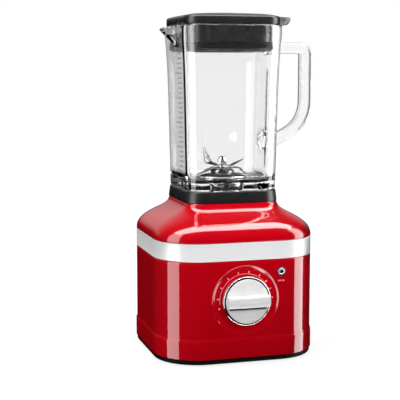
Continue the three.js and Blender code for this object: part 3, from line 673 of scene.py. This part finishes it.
def control_dial():
    """The dial: a disc, the bar across it on a black slab whose edge below the bar is a painted shadow line,
    and a black skirt behind.
    """
    radius = KNOB_HIGH.x
    face = KNOB_HIGH.y - KNOB_LOW.y - GRIP_RISE
    neck = radius - 0.6
    profile = soften([(0, 0, 0), (neck, 0, 0.4), (neck, face - 3, 0.4), (radius, face - 2.6, 0.3),
                      (radius, face, 1.0), (radius - 5, face + 0.2, 1), (0, face + 0.2, 0)], 0.5, 5)
    disc = facing_front(lathe(profile, 128), 0, DIAL.z, KNOB_HIGH.y)
    make("dial_disc", disc, "dial", "silver", ["control_dial"])
    make("dial_grip", skin(grip_rings(radius, face)), "dial", "silver", ["control_dial"])
    # A black slab behind the bar that shows as a thin dark line below it: a painted shadow line, not a real
    # groove.
    reach = radius - 3.5
    outline = soften([(-reach, -9.6), (reach, -9.6), (reach, 6), (-reach, 6)], 1.5)
    groove = [Vector((x, KNOB_HIGH.y - face - 0.35, DIAL.z + z)) for x, z in outline]
    rings = [groove, [p + Vector((0, 1.0, 0)) for p in groove]]
    make("dial_shadow_line", skin(rings), "dial", "black_plastic")
    back = facing_front(rod(radius + 0.6, 0.2, face - 3.4, steps=96), 0, DIAL.z, KNOB_HIGH.y)
    make("dial_skirt", back, "dial", "black_plastic")


def start_button():
    """A domed steel cap in a thin dark ring."""
    outer = (BUTTON_HIGH.x - BUTTON_LOW.x) / 2
    low, high = size("start_button")
    cap = 4.3
    hole = cap + 0.3
    profile = soften([(hole, 0, 0.1), (outer, 0, 0.2), (outer - 0.4, 1.3, 0.7), (hole, 1.1, 0.4)], 0.4, 5)
    parts = facing_front(lathe(profile, 64), BUTTON.x, BUTTON.z, FRONT - GAP)
    make("button_ring", parts, "base", "dark_steel", ["button_bezel"])
    face = high.y - low.y
    profile = soften([(0, 0, 0), (2, 0, 0.3), (2, 2, 0), (6, 2, 0.3), (6, 3.6, 0.3), (cap, 3.6, 0.2),
                      (cap, face - 2.2, 0.3), (3.3, face - 0.7, 2.4), (0, face, 0)], 0.4, 10)
    parts = facing_front(lathe(profile, 64), BUTTON.x, BUTTON.z, high.y)
    make("button_cap", parts, "button", "button_steel", ["start_button"])


def printed_marks():
    """The dial's ten settings, the line that joins them, and four plain dashes below the start button."""
    marks = []
    for setting, place in enumerate(SETTINGS):
        inner, outer, width = TICK if setting else OFF_TICK
        slab = cuboid((inner, -width, 0), (outer, width, 0.15))
        turned = Matrix.Rotation(math.radians(place), 3, "Z")
        marks.append(([turned @ v for v in slab[0]], slab[1]))
    line = []
    inner, outer = ARC
    lift = Vector((0, 0, 0.1))
    for step in range(73):
        angle = math.radians(lerp(SETTINGS[0] - 8, SETTINGS[-1], step / 72))
        way = Vector((math.cos(angle), math.sin(angle), 0))
        line.append([way * inner, way * outer, way * outer + lift, way * inner + lift])
    marks.append(skin(line))
    dial = facing_front(joined(*marks), 0, DIAL.z, DIAL_FLOOR - 0.02)
    label = [cuboid((x, 0, 0), (x + 1.1, 1.5, 0.1)) for x in BUTTON_DASHES]
    button = facing_front(joined(*label), BUTTON.x, BUTTON.z - 12, FRONT - 0.02)
    make("printed_marks", joined(dial, button), "base", "ink")


def cord_inlet():
    """The rubber bush in the back wall, with a flange on either side of the wall."""
    low, high = size("cord_inlet")
    radius = (high.x - low.x) / 2
    depth = high.y - low.y
    bore, neck = 3.8, 8.7
    profile = soften([(bore, 0, 0.3), (radius - 1, 0, 0.3), (radius - 1, 4.2, 0.2), (neck, 4.2, 0.2),
                      (neck, 8.3, 0.2), (radius, 8.3, 0.3), (radius - 1, depth, 1.2), (5.5, depth, 0.8),
                      (bore, depth - 1.5, 0.5)], 0.4)
    verts, faces = lathe(profile)
    verts = [Vector((v.x, low.y + v.z, (low.z + high.z) / 2 + v.y)) for v in verts]
    make("inlet_bush", (verts, faces), "base", "rubber", ["cord_inlet"])


# ---------------- jar


def jar_half(z):
    """Half the jar's outer width: a straight taper, then a flare below the rim."""
    start, narrow, slope = JAR_STRAIGHT
    flare_low, flare_high, wider = JAR_FLARE
    level = min(z, flare_high)
    flare = max(0.0, level - flare_low) / (flare_high - flare_low)
    return narrow + slope * (level - start) + wider * flare**2.2


def jar_corner(z):
    return lerp(21.8, JAR_CORNER, smoothstep(205, 395, z))


def bell(value, width):
    """1 at zero, and close to nothing beyond twice the width."""
    return math.exp(-((value / width) ** 2))


def spout(point, inset):
    """Draws the rim's left side out into a pouring lip."""
    reach = -JAR_LOW.x - JAR_HALF
    width = 15 - inset
    if point.x > 0 or abs(point.y) > width:
        return point
    rise = min(max((point.z - 381 - inset) / 17, 0.0), 1.0)
    side = (1 - abs(point.y) / width) ** 1.25
    drop = 3.2 * side * smoothstep(395, JAR_HIGH.z, point.z)
    return Vector((point.x - (reach - inset * 0.55) * rise * side, point.y, point.z - drop))


def flutes(point):
    """Pushes the inner wall in: four ribs behind, one at the right, and a swell at the handle's foot."""
    ends = smoothstep(222, 232, point.z) * (1 - smoothstep(346, 357, point.z))
    moved_in = Vector((0, 0, 0))
    wall = jar_half(point.z) - JAR_WALL - 0.5
    if point.y > wall:
        moved_in.y -= 0.8 * ends * sum(bell(point.x - place, 2.6) for place in RIBS)
    if point.x > wall:
        moved_in.x -= 1.2 * ends * bell(point.y - SIDE_RIB, 3.5)
        moved_in.x -= 5.5 * bell(point.y, 13) * bell(point.z - HANDLE_ROOT[1] - 4.5, 10)
    return point + moved_in


def jar_ring(half, corner, z):
    return ring(half, half, corner, z, 14, 48)


def jar_body():
    """The jar's walls, rim, thick floor and the blades' bore; a level is (half width, corner, z)."""
    foot, floor, rim = JAR_LOW.z, JAR_FLOOR, JAR_HIGH.z
    outside = [(52.6, 18.2, foot), (53.6, 19.1, foot + 0.4), (54, 19.5, foot + 1.4), (54, 19.5, 202.6),
               (54.4, 19.8, 203), (56.2, 20.9, 203.3), (57, 21.5, 204.3), (57.2, 21.7, 206)]
    outside += [(jar_half(z), jar_corner(z), z) for z in range(208, 401, 4)]
    edge, corner = jar_half(rim), JAR_CORNER
    outside += [(edge - 0.05, corner, 402), (edge - 0.5, corner - 0.5, 403.5)]
    outside += [(edge - 1.6, corner - 1.6, rim)]
    inside = [(edge - 3.4, corner - 3.4, rim), (edge - 4.4, corner - 4.4, 403.6)]
    inside += [(jar_half(z) - JAR_WALL, jar_corner(z) - JAR_WALL, z) for z in range(402, 224, -3)]
    inside += [(52.3, 16.6, floor + 9), (51.4, 16.4, floor + 5.5), (49.6, 16, floor + 2.8)]
    inside += [(47, 15.6, floor + 1), (43, 15, floor + 0.1)]
    rings = [[spout(p, 0) for p in jar_ring(*level)] for level in outside]
    rings += [[spout(flutes(p), 3.2) for p in jar_ring(*level)] for level in inside]
    square = jar_ring(40, 15, 0)
    bore = [(26, floor), (JAR_BORE + 1, floor), (JAR_BORE, floor - 1)]
    bore += [(JAR_BORE, foot + 1), (JAR_BORE + 1, foot)]
    rings += [rounded_to_circle(square, radius, z) for radius, z in bore]
    return skin(rings, closed=True)


def handle_path():
    """Knots of the handle's centre line in the X-Z plane, from the upper root to the lower one."""
    outer = JAR_HIGH.x - 7.2
    top, bend, straight = HANDLE_TOP, (102.5, 368), 312
    curves = [
        [(HANDLE_ROOT[0], top), (72, top), (90, top), (bend[0], top)],
        [(bend[0], top), (108.2, top), (outer, 373.8), (outer, bend[1])],
        [(outer, bend[1]), (outer, 348), (outer, 328), (outer, straight)],
        [(outer, straight), (outer, 288), (100, 270), HANDLE_ROOT],
    ]
    points = []
    for knots in curves:
        curve = interpolate_bezier(*[Vector((x, 0, z)) for x, z in knots], 14)
        points += curve[1 if points else 0 :]
    return points


def handle():
    """The handle's bar: a rounded section swept along its path, spreading into the wall at both roots."""
    path = handle_path()
    thick, wide = HANDLE_SECTION
    section = soften([(-thick, -wide), (thick, -wide), (thick, wide), (-thick, wide)], 5.5, 8)
    rings = []
    for i, point in enumerate(path):
        ahead = (path[min(i + 1, len(path) - 1)] - path[max(i - 1, 0)]).normalized()
        out = Vector((-ahead.z, 0, ahead.x))
        root = bell(point.x - 60, 9)
        thicker, wider = 1 + 0.3 * root, 1 + 0.25 * root
        rings.append([point + out * (u * thicker) + Vector((0, v * wider, 0)) for u, v in section])
    return skin(rings)


def glass_jar():
    piece = make("jar", jar_body(), "jar", "glass", ["glass_jar"], sharp=45)
    boolean(piece, handle(), "UNION", 45)


def measure_marks():
    """Raised graduations on the jar's left wall: a ladder of strokes, with every fifth one longer."""
    marks = []
    for step in range(MARKS):
        z = MARK_LOW + MARK_STEP * step
        x = -jar_half(z) - 0.35
        length = 24 if step % 5 == 0 else 14
        marks.append(cuboid((x, -26, z - 1), (x + 0.3, length - 26, z + 1)))
    make("measure_marks", joined(*marks), "jar", "glass")


# ---------------- blades


def blade_base():
    """A bright dished flange with a stem through the jar's floor, and a darker bearing house on top."""
    top, radius = HUB_HIGH.z, HUB_HIGH.x
    stem, bore, seat = 20.5, 11.2, 216
    flange = soften([(18.4, HUB_LOW.z), (stem, HUB_LOW.z), (stem, 213.4), (radius, 213.4, 0.3),
                     (radius, 214.9, 1), (29.5, 216.9, 2.5), (23, 219.8, 3), (15.8, 221.4, 0.5),
                     (15, 221.4, 0.2), (15, seat, 0.2), (bore, seat, 0.2), (bore, 190), (18.4, 190)], 0.3, 4)
    make("hub_flange", lathe(flange, 96), "jar", "steel", ["blade_base"])
    house = soften([(bore, seat + GAP), (14.7, seat + GAP, 0.2), (14.7, 221.8, 0.2), (15, 222, 0.2),
                    (15, top - 1.8, 1), (13, top, 0.8), (4.3, top), (4.3, 223.6), (bore, 223.6)], 0.3, 4)
    make("bearing_house", lathe(house, 96), "jar", "dark_steel", ["blade_base"])


def gasket():
    low, high = size("base_gasket")
    profile = soften([(21, low.z), (high.x, low.z), (high.x, high.z), (21, high.z)], 0.35)
    make("gasket", lathe(profile, 96), "jar", "silicone", ["base_gasket"])


def retainer_nut():
    """The nut below the jar's floor that clamps the blades, with six ribs to turn it by."""
    low, high = size("retainer_nut")
    profile = soften([(20.8, low.z, 0.5), (32.5, low.z, 1), (33, 186, 1), (36, 188, 1), (36, high.z, 0.8),
                      (20.8, high.z, 0.5)], 0.5)
    parts = [lathe(profile, 96)]
    slab = soften([(31, -2.2, 0), (high.x, -2.2, 1.2), (high.x, 2.2, 1.2), (31, 2.2, 0)], 1)
    verts, faces = skin([[Vector((x, y, z)) for x, y in slab] for z in (low.z + 0.4, 190.6)])
    for turn in range(6):
        spin = Matrix.Rotation(TURN * turn / 6, 3, "Z")
        parts.append(([spin @ v for v in verts], faces))
    make("jar_nut", joined(*parts), "jar", "black_plastic", ["retainer_nut"])


def blade(path, root, tip, hand):
    """One blade: path is its middle line as (distance, z); it narrows to a swept tip with a ground edge."""
    line = [Vector((path[0][0], 0, path[0][1]))]
    for before, here, after in zip(path, path[1:], path[2:]):
        first = (Vector((*before, 0)) + Vector((*here, 0)) * 2) / 3
        last = (Vector((*after, 0)) + Vector((*here, 0)) * 2) / 3
        bend = interpolate_bezier(first, Vector((*here, 0)), Vector((*here, 0)), last, 6)
        line += [Vector((p.x, 0, p.y)) for p in bend]
    line.append(Vector((path[-1][0], 0, path[-1][1])))
    length = sum((b - a).length for a, b in zip(line, line[1:]))
    rings, run = [], 0.0
    for i, point in enumerate(line):
        run += (point - line[i - 1]).length if i else 0
        along = run / length
        ahead = (line[min(i + 1, len(line) - 1)] - line[max(i - 1, 0)]).normalized()
        up = Vector((-ahead.z, 0, ahead.x))
        wide = lerp(root, tip, along**1.6)
        sweep = hand * (root - wide) * 0.7
        thin = 0.8 * (1 - 0.5 * smoothstep(0.75, 1, along))
        ground = wide - wide * 0.45
        section = [(-wide, -thin), (ground, -thin), (wide, -thin * 0.6), (ground, thin), (-wide, thin)]
        rings.append([point + Vector((0, hand * u + sweep, 0)) + up * v for u, v in section])
    return skin(rings)


def blade_pair(name, node, left, right, turn):
    """Two blades on one hub, turned by that many degrees."""
    hole = size("blade_spindle")[1].x + 0.15
    spin = Matrix.Rotation(math.radians(turn), 3, "Z")
    low, high = left[0][1] - 0.8, left[0][1] + 0.8
    hub = lathe(soften([(hole, low), (7.6, low), (7.6, high), (hole, high)], 0.2), 48)
    verts, faces = joined(hub, blade(left, 7, 2.2, -1), blade(right, 7, 2.2, 1))
    make(name, ([spin @ v for v in verts], faces), "blades", "blade_steel", [node])


def star_outline(radius, swing, steps=96):
    """A circle at z 0 whose radius swings in and out six times."""
    angles = [TURN * i / steps for i in range(steps)]
    radii = [radius + swing * math.cos(6 * a) for a in angles]
    return [Vector((r * math.cos(a), r * math.sin(a), 0)) for r, a in zip(radii, angles)]


def scaled_rings(outline, levels):
    return [[p * scale + Vector((0, 0, z)) for p in outline] for scale, z in levels]


def blades():
    """The lower and the upper pair of blades, and the domed nut that holds them."""
    blade_pair("blades_low", "lower_blades",
               [(-6, 227.6), (-13, 227.4), (-36.5, 216.9)], [(6, 227.6), (22, 227.3), (33.6, 215.9)], 0)
    blade_pair("blades_high", "upper_blades",
               [(-6, 230.3), (-13, 230.6), (-29.5, 239.3)], [(6, 230.3), (20.5, 232.6), (25.5, 252.2)], 128)
    top = size("blade_nut")[1].z
    hexagon = star_outline(7, 0, 6)
    flats = scaled_rings(hexagon, ((0.92, 231.4), (1, 231.9), (1, 235.4), (0.92, 236)))
    profile = [(0, 235.5, 0), (6, 235.5, 0.3), (5.6, 239.2, 2.5), (3, top - 0.5, 2), (0, top, 0)]
    parts = joined(skin(flats), lathe(soften(profile, 1, 6), 48))
    make("cap_nut", parts, "blades", "chrome", ["blade_nut"])


def couplers():
    """A six-pointed star on the motor, and the cup below the jar that it drives."""
    low, high = size("drive_coupler")
    levels = ((1, 166), (1, high.z - 1.5), (0.97, high.z - 0.5), (0.9, high.z))
    star = skin(scaled_rings(star_outline(11, 1.6), levels))
    flange = lathe(soften([(0, low.z, 0), (high.x, low.z), (high.x, 166.2), (0, 166.2, 0)], 0.4), 64)
    make("motor_coupler", joined(star, flange), "rotor", "black_plastic", ["drive_coupler"])
    low, high = size("driven_coupler")
    radius, bore = high.x, 4.2
    cup = star_outline(11.6, 1.6)
    edge = radius * 0.97
    outside = ((edge, low.z), (radius, low.z + 0.6), (radius, high.z - 0.6), (edge, high.z))
    inside = ((bore, high.z), (bore, 182.3), (bore, 181.4))
    rings = [rounded_to_circle(cup, reach, z) for reach, z in outside + inside]
    rings += scaled_rings(cup, ((1, 181.2), (1, low.z + 0.8), (1.04, low.z)))
    make("jar_coupler", skin(rings, closed=True), "blades", "black_plastic", ["driven_coupler"])


# ---------------- lid


def lid_ring(half, corner, z, tab=None):
    """A ring of the lid; tab is the (x, z) that its right side is drawn out to."""
    points = ring(half, half, corner, z, 12, 40)
    if tab is None:
        return points
    made = []
    for p in points:
        share = 1 - smoothstep(17, 27, abs(p.y)) if p.x > 0 else 0.0
        made.append(Vector((lerp(p.x, tab[0], share), p.y, lerp(p.z, tab[1], share))))
    return made


def lid_cover():
    """The lid: a plug inside the jar, a rim with its tab, and a low crown round the filler cap's seat."""
    low, top = LID_LOW.z, LID_HIGH.z
    tip = LID_HIGH.x
    levels = [
        (52, 22.8, low), (53.3, 24.2, low + 0.4), (PLUG, 25, low + 2), (PLUG, 25, 390), (PLUG, 25, 404.2),
        (54.7, 25, 404.7), (58.5, 21, 404.8, (76, 405)), (60.4, 21.4, 405, (79.5, 405.7)),
        (61, 22, 405.9, (81.8, 407.4)), (61, 22, 409, (83.6, 409.8)), (61, 22, 411.6, (tip, 412.4)),
        (60.8, 21.8, 413.3, (tip - 0.3, 414)), (60, 21, 414.5, (tip - 1.6, 415)),
        (58, 20, 415.2, (78, 415.3)), (52, 18, 416.7, (66, 415.9)),
        (46, 19, 417.7), (38, 22, 418.4), (34, 24, top - 0.1),
    ]
    rings = [lid_ring(*level) for level in levels]
    square = lid_ring(54, 25, 0)
    bore, neck, seat = 24.9, CAP_LOW.z, CAP_SEAT - GAP
    mouth = [(32, top), (31.6, top - 0.3), (31.4, seat + 0.3), (31, seat), (bore + 0.6, seat)]
    mouth += [(bore, seat - 0.6), (bore, neck + 0.5), (bore + 0.5, neck), (bore + 2.4, neck)]
    mouth += [(bore + 2.9, neck + 0.5), (bore + 2.9, 406.3), (bore + 4, 406.8)]
    rings += [rounded_to_circle(square, radius, z) for radius, z in mouth]
    hollow = ((49.5, 20.5, 406.8), (50.7, 21, 405.6), (50.7, 21, low + 0.4), (51.1, 21.4, low))
    rings += [lid_ring(*level) for level in hollow]
    make("lid", skin(rings, closed=True), "lid", "black_plastic", ["lid_cover"], sharp=40)


def lid_seal():
    """The soft ring round the lid's plug, with three ribs."""
    low, high = size("lid_seal")
    inner, edge = PLUG + GAP, high.x - 0.3
    profile = [(inner, low.z), (inner + 0.7, low.z)]
    for rib in SEAL_RIBS:
        profile += [(inner + 0.9, rib - 1.1), (edge, rib - 0.4), (high.x, rib), (edge, rib + 0.4)]
        profile += [(inner + 0.9, rib + 1.1)]
    profile += [(inner + 0.7, high.z), (inner, high.z)]
    rings = [lid_ring(half, 25.2 + half - inner, z) for half, z in profile]
    make("seal", skin(rings, closed=True), "lid", "rubber", ["lid_seal"])


def filler_cap():
    """A cup with a flange, hollow from below, and a shallow ring round its top."""
    low, top = CAP_LOW.z, CAP_HIGH.z
    inner, outer, flange = 22, 24.5, CAP_HIGH.x
    profile = soften([(inner, low, 0.6), (outer, low, 0.6), (outer, CAP_SEAT, 0.2), (flange, CAP_SEAT, 0.3),
                      (flange, top - 1.1, 0.6), (flange - 2, top - 0.6, 0.6), (27, top - 0.8, 0.8),
                      (23, top - 0.1, 1.5), (0, top, 0), (0, top - 3, 0), (inner, top - 3, 1)], 0.5, 4)
    make("filler_cap", lathe(profile, 96), "cap", "black_plastic", ["ingredient_cap"])


# ---------------- inside, from the frame


def finish_frame_nodes():
    """The motor, the fasteners and the rest of the inside keep their CAD shape and get their material."""
    slots = {row["node"]: row["material_slot"] for row in frame["record"]["subparts"]}
    for name, node in frame["nodes"].items():
        node.data.materials.clear()
        node.data.materials.append(LOOKS[slots[name]])


# ---------------- studio


CAMERA_DISTANCE, CAMERA_HEIGHT = 1.334, 0.3531  # metres, from the motor's axis and from the frame's zero
CAMERA_AZIMUTH, CAMERA_PITCH, CAMERA_ASIDE = (math.radians(angle) for angle in (-17.26, 7.16, 1.187))
CAMERA_RIGHT = (0.955, -0.297)  # the camera's right-hand direction, in X and Y
FLOOR_REACH = 6.0


def camera():
    """Stands left of the front at the height of the jar, and looks slightly left of the motor's axis."""
    data = bpy.data.cameras.new("camera")
    data.lens = 95.05
    data.sensor_width = 36
    made = bpy.data.objects.new("camera", data)
    x, y = math.sin(CAMERA_AZIMUTH), -math.cos(CAMERA_AZIMUTH)
    made.location = (x * CAMERA_DISTANCE, y * CAMERA_DISTANCE, CAMERA_HEIGHT)
    made.rotation_euler = (TURN / 4 - CAMERA_PITCH, 0, CAMERA_AZIMUTH + CAMERA_ASIDE)
    bpy.context.scene.collection.objects.link(made)
    bpy.context.scene.camera = made


def panel(name, place, aim, width, height, radiance, diffuse=True, glossy=True):
    """A softbox of that size in metres, facing aim."""
    light = bpy.data.lights.new(name, "AREA")
    light.shape = "RECTANGLE"
    light.size = width
    light.size_y = height
    light.energy = radiance * math.pi * width * height
    made = bpy.data.objects.new(name, light)
    made.location = place
    made.rotation_euler = (Vector(aim) - Vector(place)).to_track_quat("-Z", "Y").to_euler()
    made.visible_camera = False
    made.visible_diffuse = diffuse
    made.visible_glossy = glossy
    bpy.context.scene.collection.objects.link(made)
    return made


def room(tree):
    """A white room, graded by direction so that gloss and glass have something dark to show.

    Diffuse surfaces get a soft fill, brightest from above and from the left. Gloss sees only a bright wall
    behind the object. Glass sees white, with a soft grey flag on either side of the photo's line of sight.
    """
    nodes, links = tree.nodes, tree.links
    place = nodes.new("ShaderNodeTexCoord")
    split = nodes.new("ShaderNodeSeparateXYZ")
    links.new(place.outputs["Generated"], split.inputs["Vector"])

    def grade(source, start, end, low, high):
        ranged = nodes.new("ShaderNodeMapRange")
        ranged.interpolation_type = "SMOOTHSTEP"
        for socket, value in (("From Min", start), ("From Max", end), ("To Min", low), ("To Max", high)):
            ranged.inputs[socket].default_value = value
        links.new(source, ranged.inputs["Value"])
        return ranged.outputs["Result"]

    def math_of(operation, *sources):
        node = nodes.new("ShaderNodeMath")
        node.operation = operation
        for socket, source in zip(node.inputs, sources):
            if isinstance(source, float):
                socket.default_value = source
            else:
                links.new(source, socket)
        return node.outputs["Value"]

    aside, ahead, up = split.outputs
    behind = math_of("MULTIPLY", grade(ahead, 0.4, 0.95, 0.0, 1.0), grade(up, 0.02, 0.25, 0.0, 1.0))
    gloss = math_of("MULTIPLY", behind, 0.6)
    fill = math_of("MULTIPLY", grade(up, -0.8, 1.0, 0.05, 1.15), grade(aside, -1.0, 0.6, 1.75, 0.45))
    right_x, right_y = CAMERA_RIGHT
    across = math_of("ADD", math_of("MULTIPLY", aside, right_x), math_of("MULTIPLY", ahead, right_y))
    sideways = math_of("ABSOLUTE", across)
    open_side = math_of("MAXIMUM", grade(across, -0.95, -0.75, 0.8, 0.0), grade(ahead, -0.3, 0.0, 1.0, 0.0))
    flags = math_of("MAXIMUM", grade(sideways, 0.2, 0.36, 1.0, 0.62), grade(sideways, 0.4, 0.56, 0.0, 1.0))
    flagged = math_of("MAXIMUM", flags, open_side)
    above = grade(up, 0.3, 0.55, 1.0, 0.05)
    inner = math_of("MULTIPLY", math_of("MULTIPLY", flagged, above), grade(ahead, -0.3, 0.3, 0.2, 1.0))
    through = math_of("MULTIPLY", flagged, grade(up, 0.55, 0.85, 1.0, 0.2))
    path = nodes.new("ShaderNodeLightPath")
    reflected = math_of("GREATER_THAN", path.outputs["Glossy Depth"], 0.5)
    in_glass = math_of("GREATER_THAN", path.outputs["Transmission Depth"], 0.5)

    def either(choice, first, second):
        kept = math_of("MULTIPLY", math_of("SUBTRACT", 1.0, choice), first)
        return math_of("ADD", kept, math_of("MULTIPLY", choice, second))

    clear = either(in_glass, 1.0, through)
    shiny = either(in_glass, gloss, inner)
    seen = either(reflected, clear, shiny)
    strength = either(path.outputs["Is Diffuse Ray"], seen, fill)
    light = nodes.new("ShaderNodeBackground")
    light.inputs["Color"].default_value = (1, 1, 1, 1)
    links.new(strength, light.inputs["Strength"])
    return light.outputs["Background"]


def backdrop():
    """The world, lit by the room."""
    world = bpy.data.worlds.new("room")
    bpy.context.scene.world = world
    world.use_nodes = True
    world.node_tree.nodes.clear()
    out = world.node_tree.nodes.new("ShaderNodeOutputWorld")
    world.node_tree.links.new(room(world.node_tree), out.inputs["Surface"])


def floor():
    """A plain pale floor that only the camera sees; the panels and the room light the object."""
    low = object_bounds()[0].z
    mesh = bpy.data.meshes.new("floor")
    corners = [(x * FLOOR_REACH, y * FLOOR_REACH, low) for x, y in ((-1, -1), (1, -1), (1, 1), (-1, 1))]
    mesh.from_pydata(corners, [], [(0, 1, 2, 3)])
    made = bpy.data.objects.new("floor", mesh)
    look = moulded("floor", (0.24, 0.24, 0.24), 0.8, 400, 0.005, 0.0)
    shader = look.node_tree.nodes["Principled BSDF"]
    shader.inputs["Emission Color"].default_value = (1, 1, 1, 1)
    shader.inputs["Emission Strength"].default_value = 0.8
    mesh.materials.append(look)
    made.visible_glossy = False
    made.visible_diffuse = False
    made.visible_transmission = False
    bpy.context.scene.collection.objects.link(made)
    made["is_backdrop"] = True


def studio():
    """Panels that only gloss sees, one of them low in front for the dial's recess, and a soft key light."""
    bpy.context.scene.view_settings.view_transform = "Standard"
    backdrop()
    floor()
    for name, place, aim, width, height, radiance in (
        ("left_strip", (-1.18, -0.30, 0.5), (0, -0.30, 0.5), 0.72, 2.2, 5.6),
        ("right_strip", (1.14, -0.38, 0.5), (0, -0.38, 0.5), 0.66, 2.2, 8),
        ("top_panel", (0.0, -0.09, 1.4), (0, -0.09, 0), 2.3, 0.57, 13),
        ("low_panel", (0.4, -0.78, -0.8), (0.4, -0.78, 0), 1.8, 0.42, 12),
    ):
        panel(name, place, aim, width, height, radiance, diffuse=False)
    key = panel("key", (0.5, -1.7, 1.35), (0, 0, 0.33), 0.3, 0.3, 3, glossy=False)
    key.data.spread = math.radians(18)


# ---------------- assembly

camera()
finish_frame_nodes()
housing()
trim_band()
base_plate()
feet()
jar_pad()
dial_bezel()
control_dial()
start_button()
printed_marks()
cord_inlet()
glass_jar()
measure_marks()
blade_base()
gasket()
retainer_nut()
blades()
couplers()
lid_cover()
lid_seal()
filler_cap()
studio()
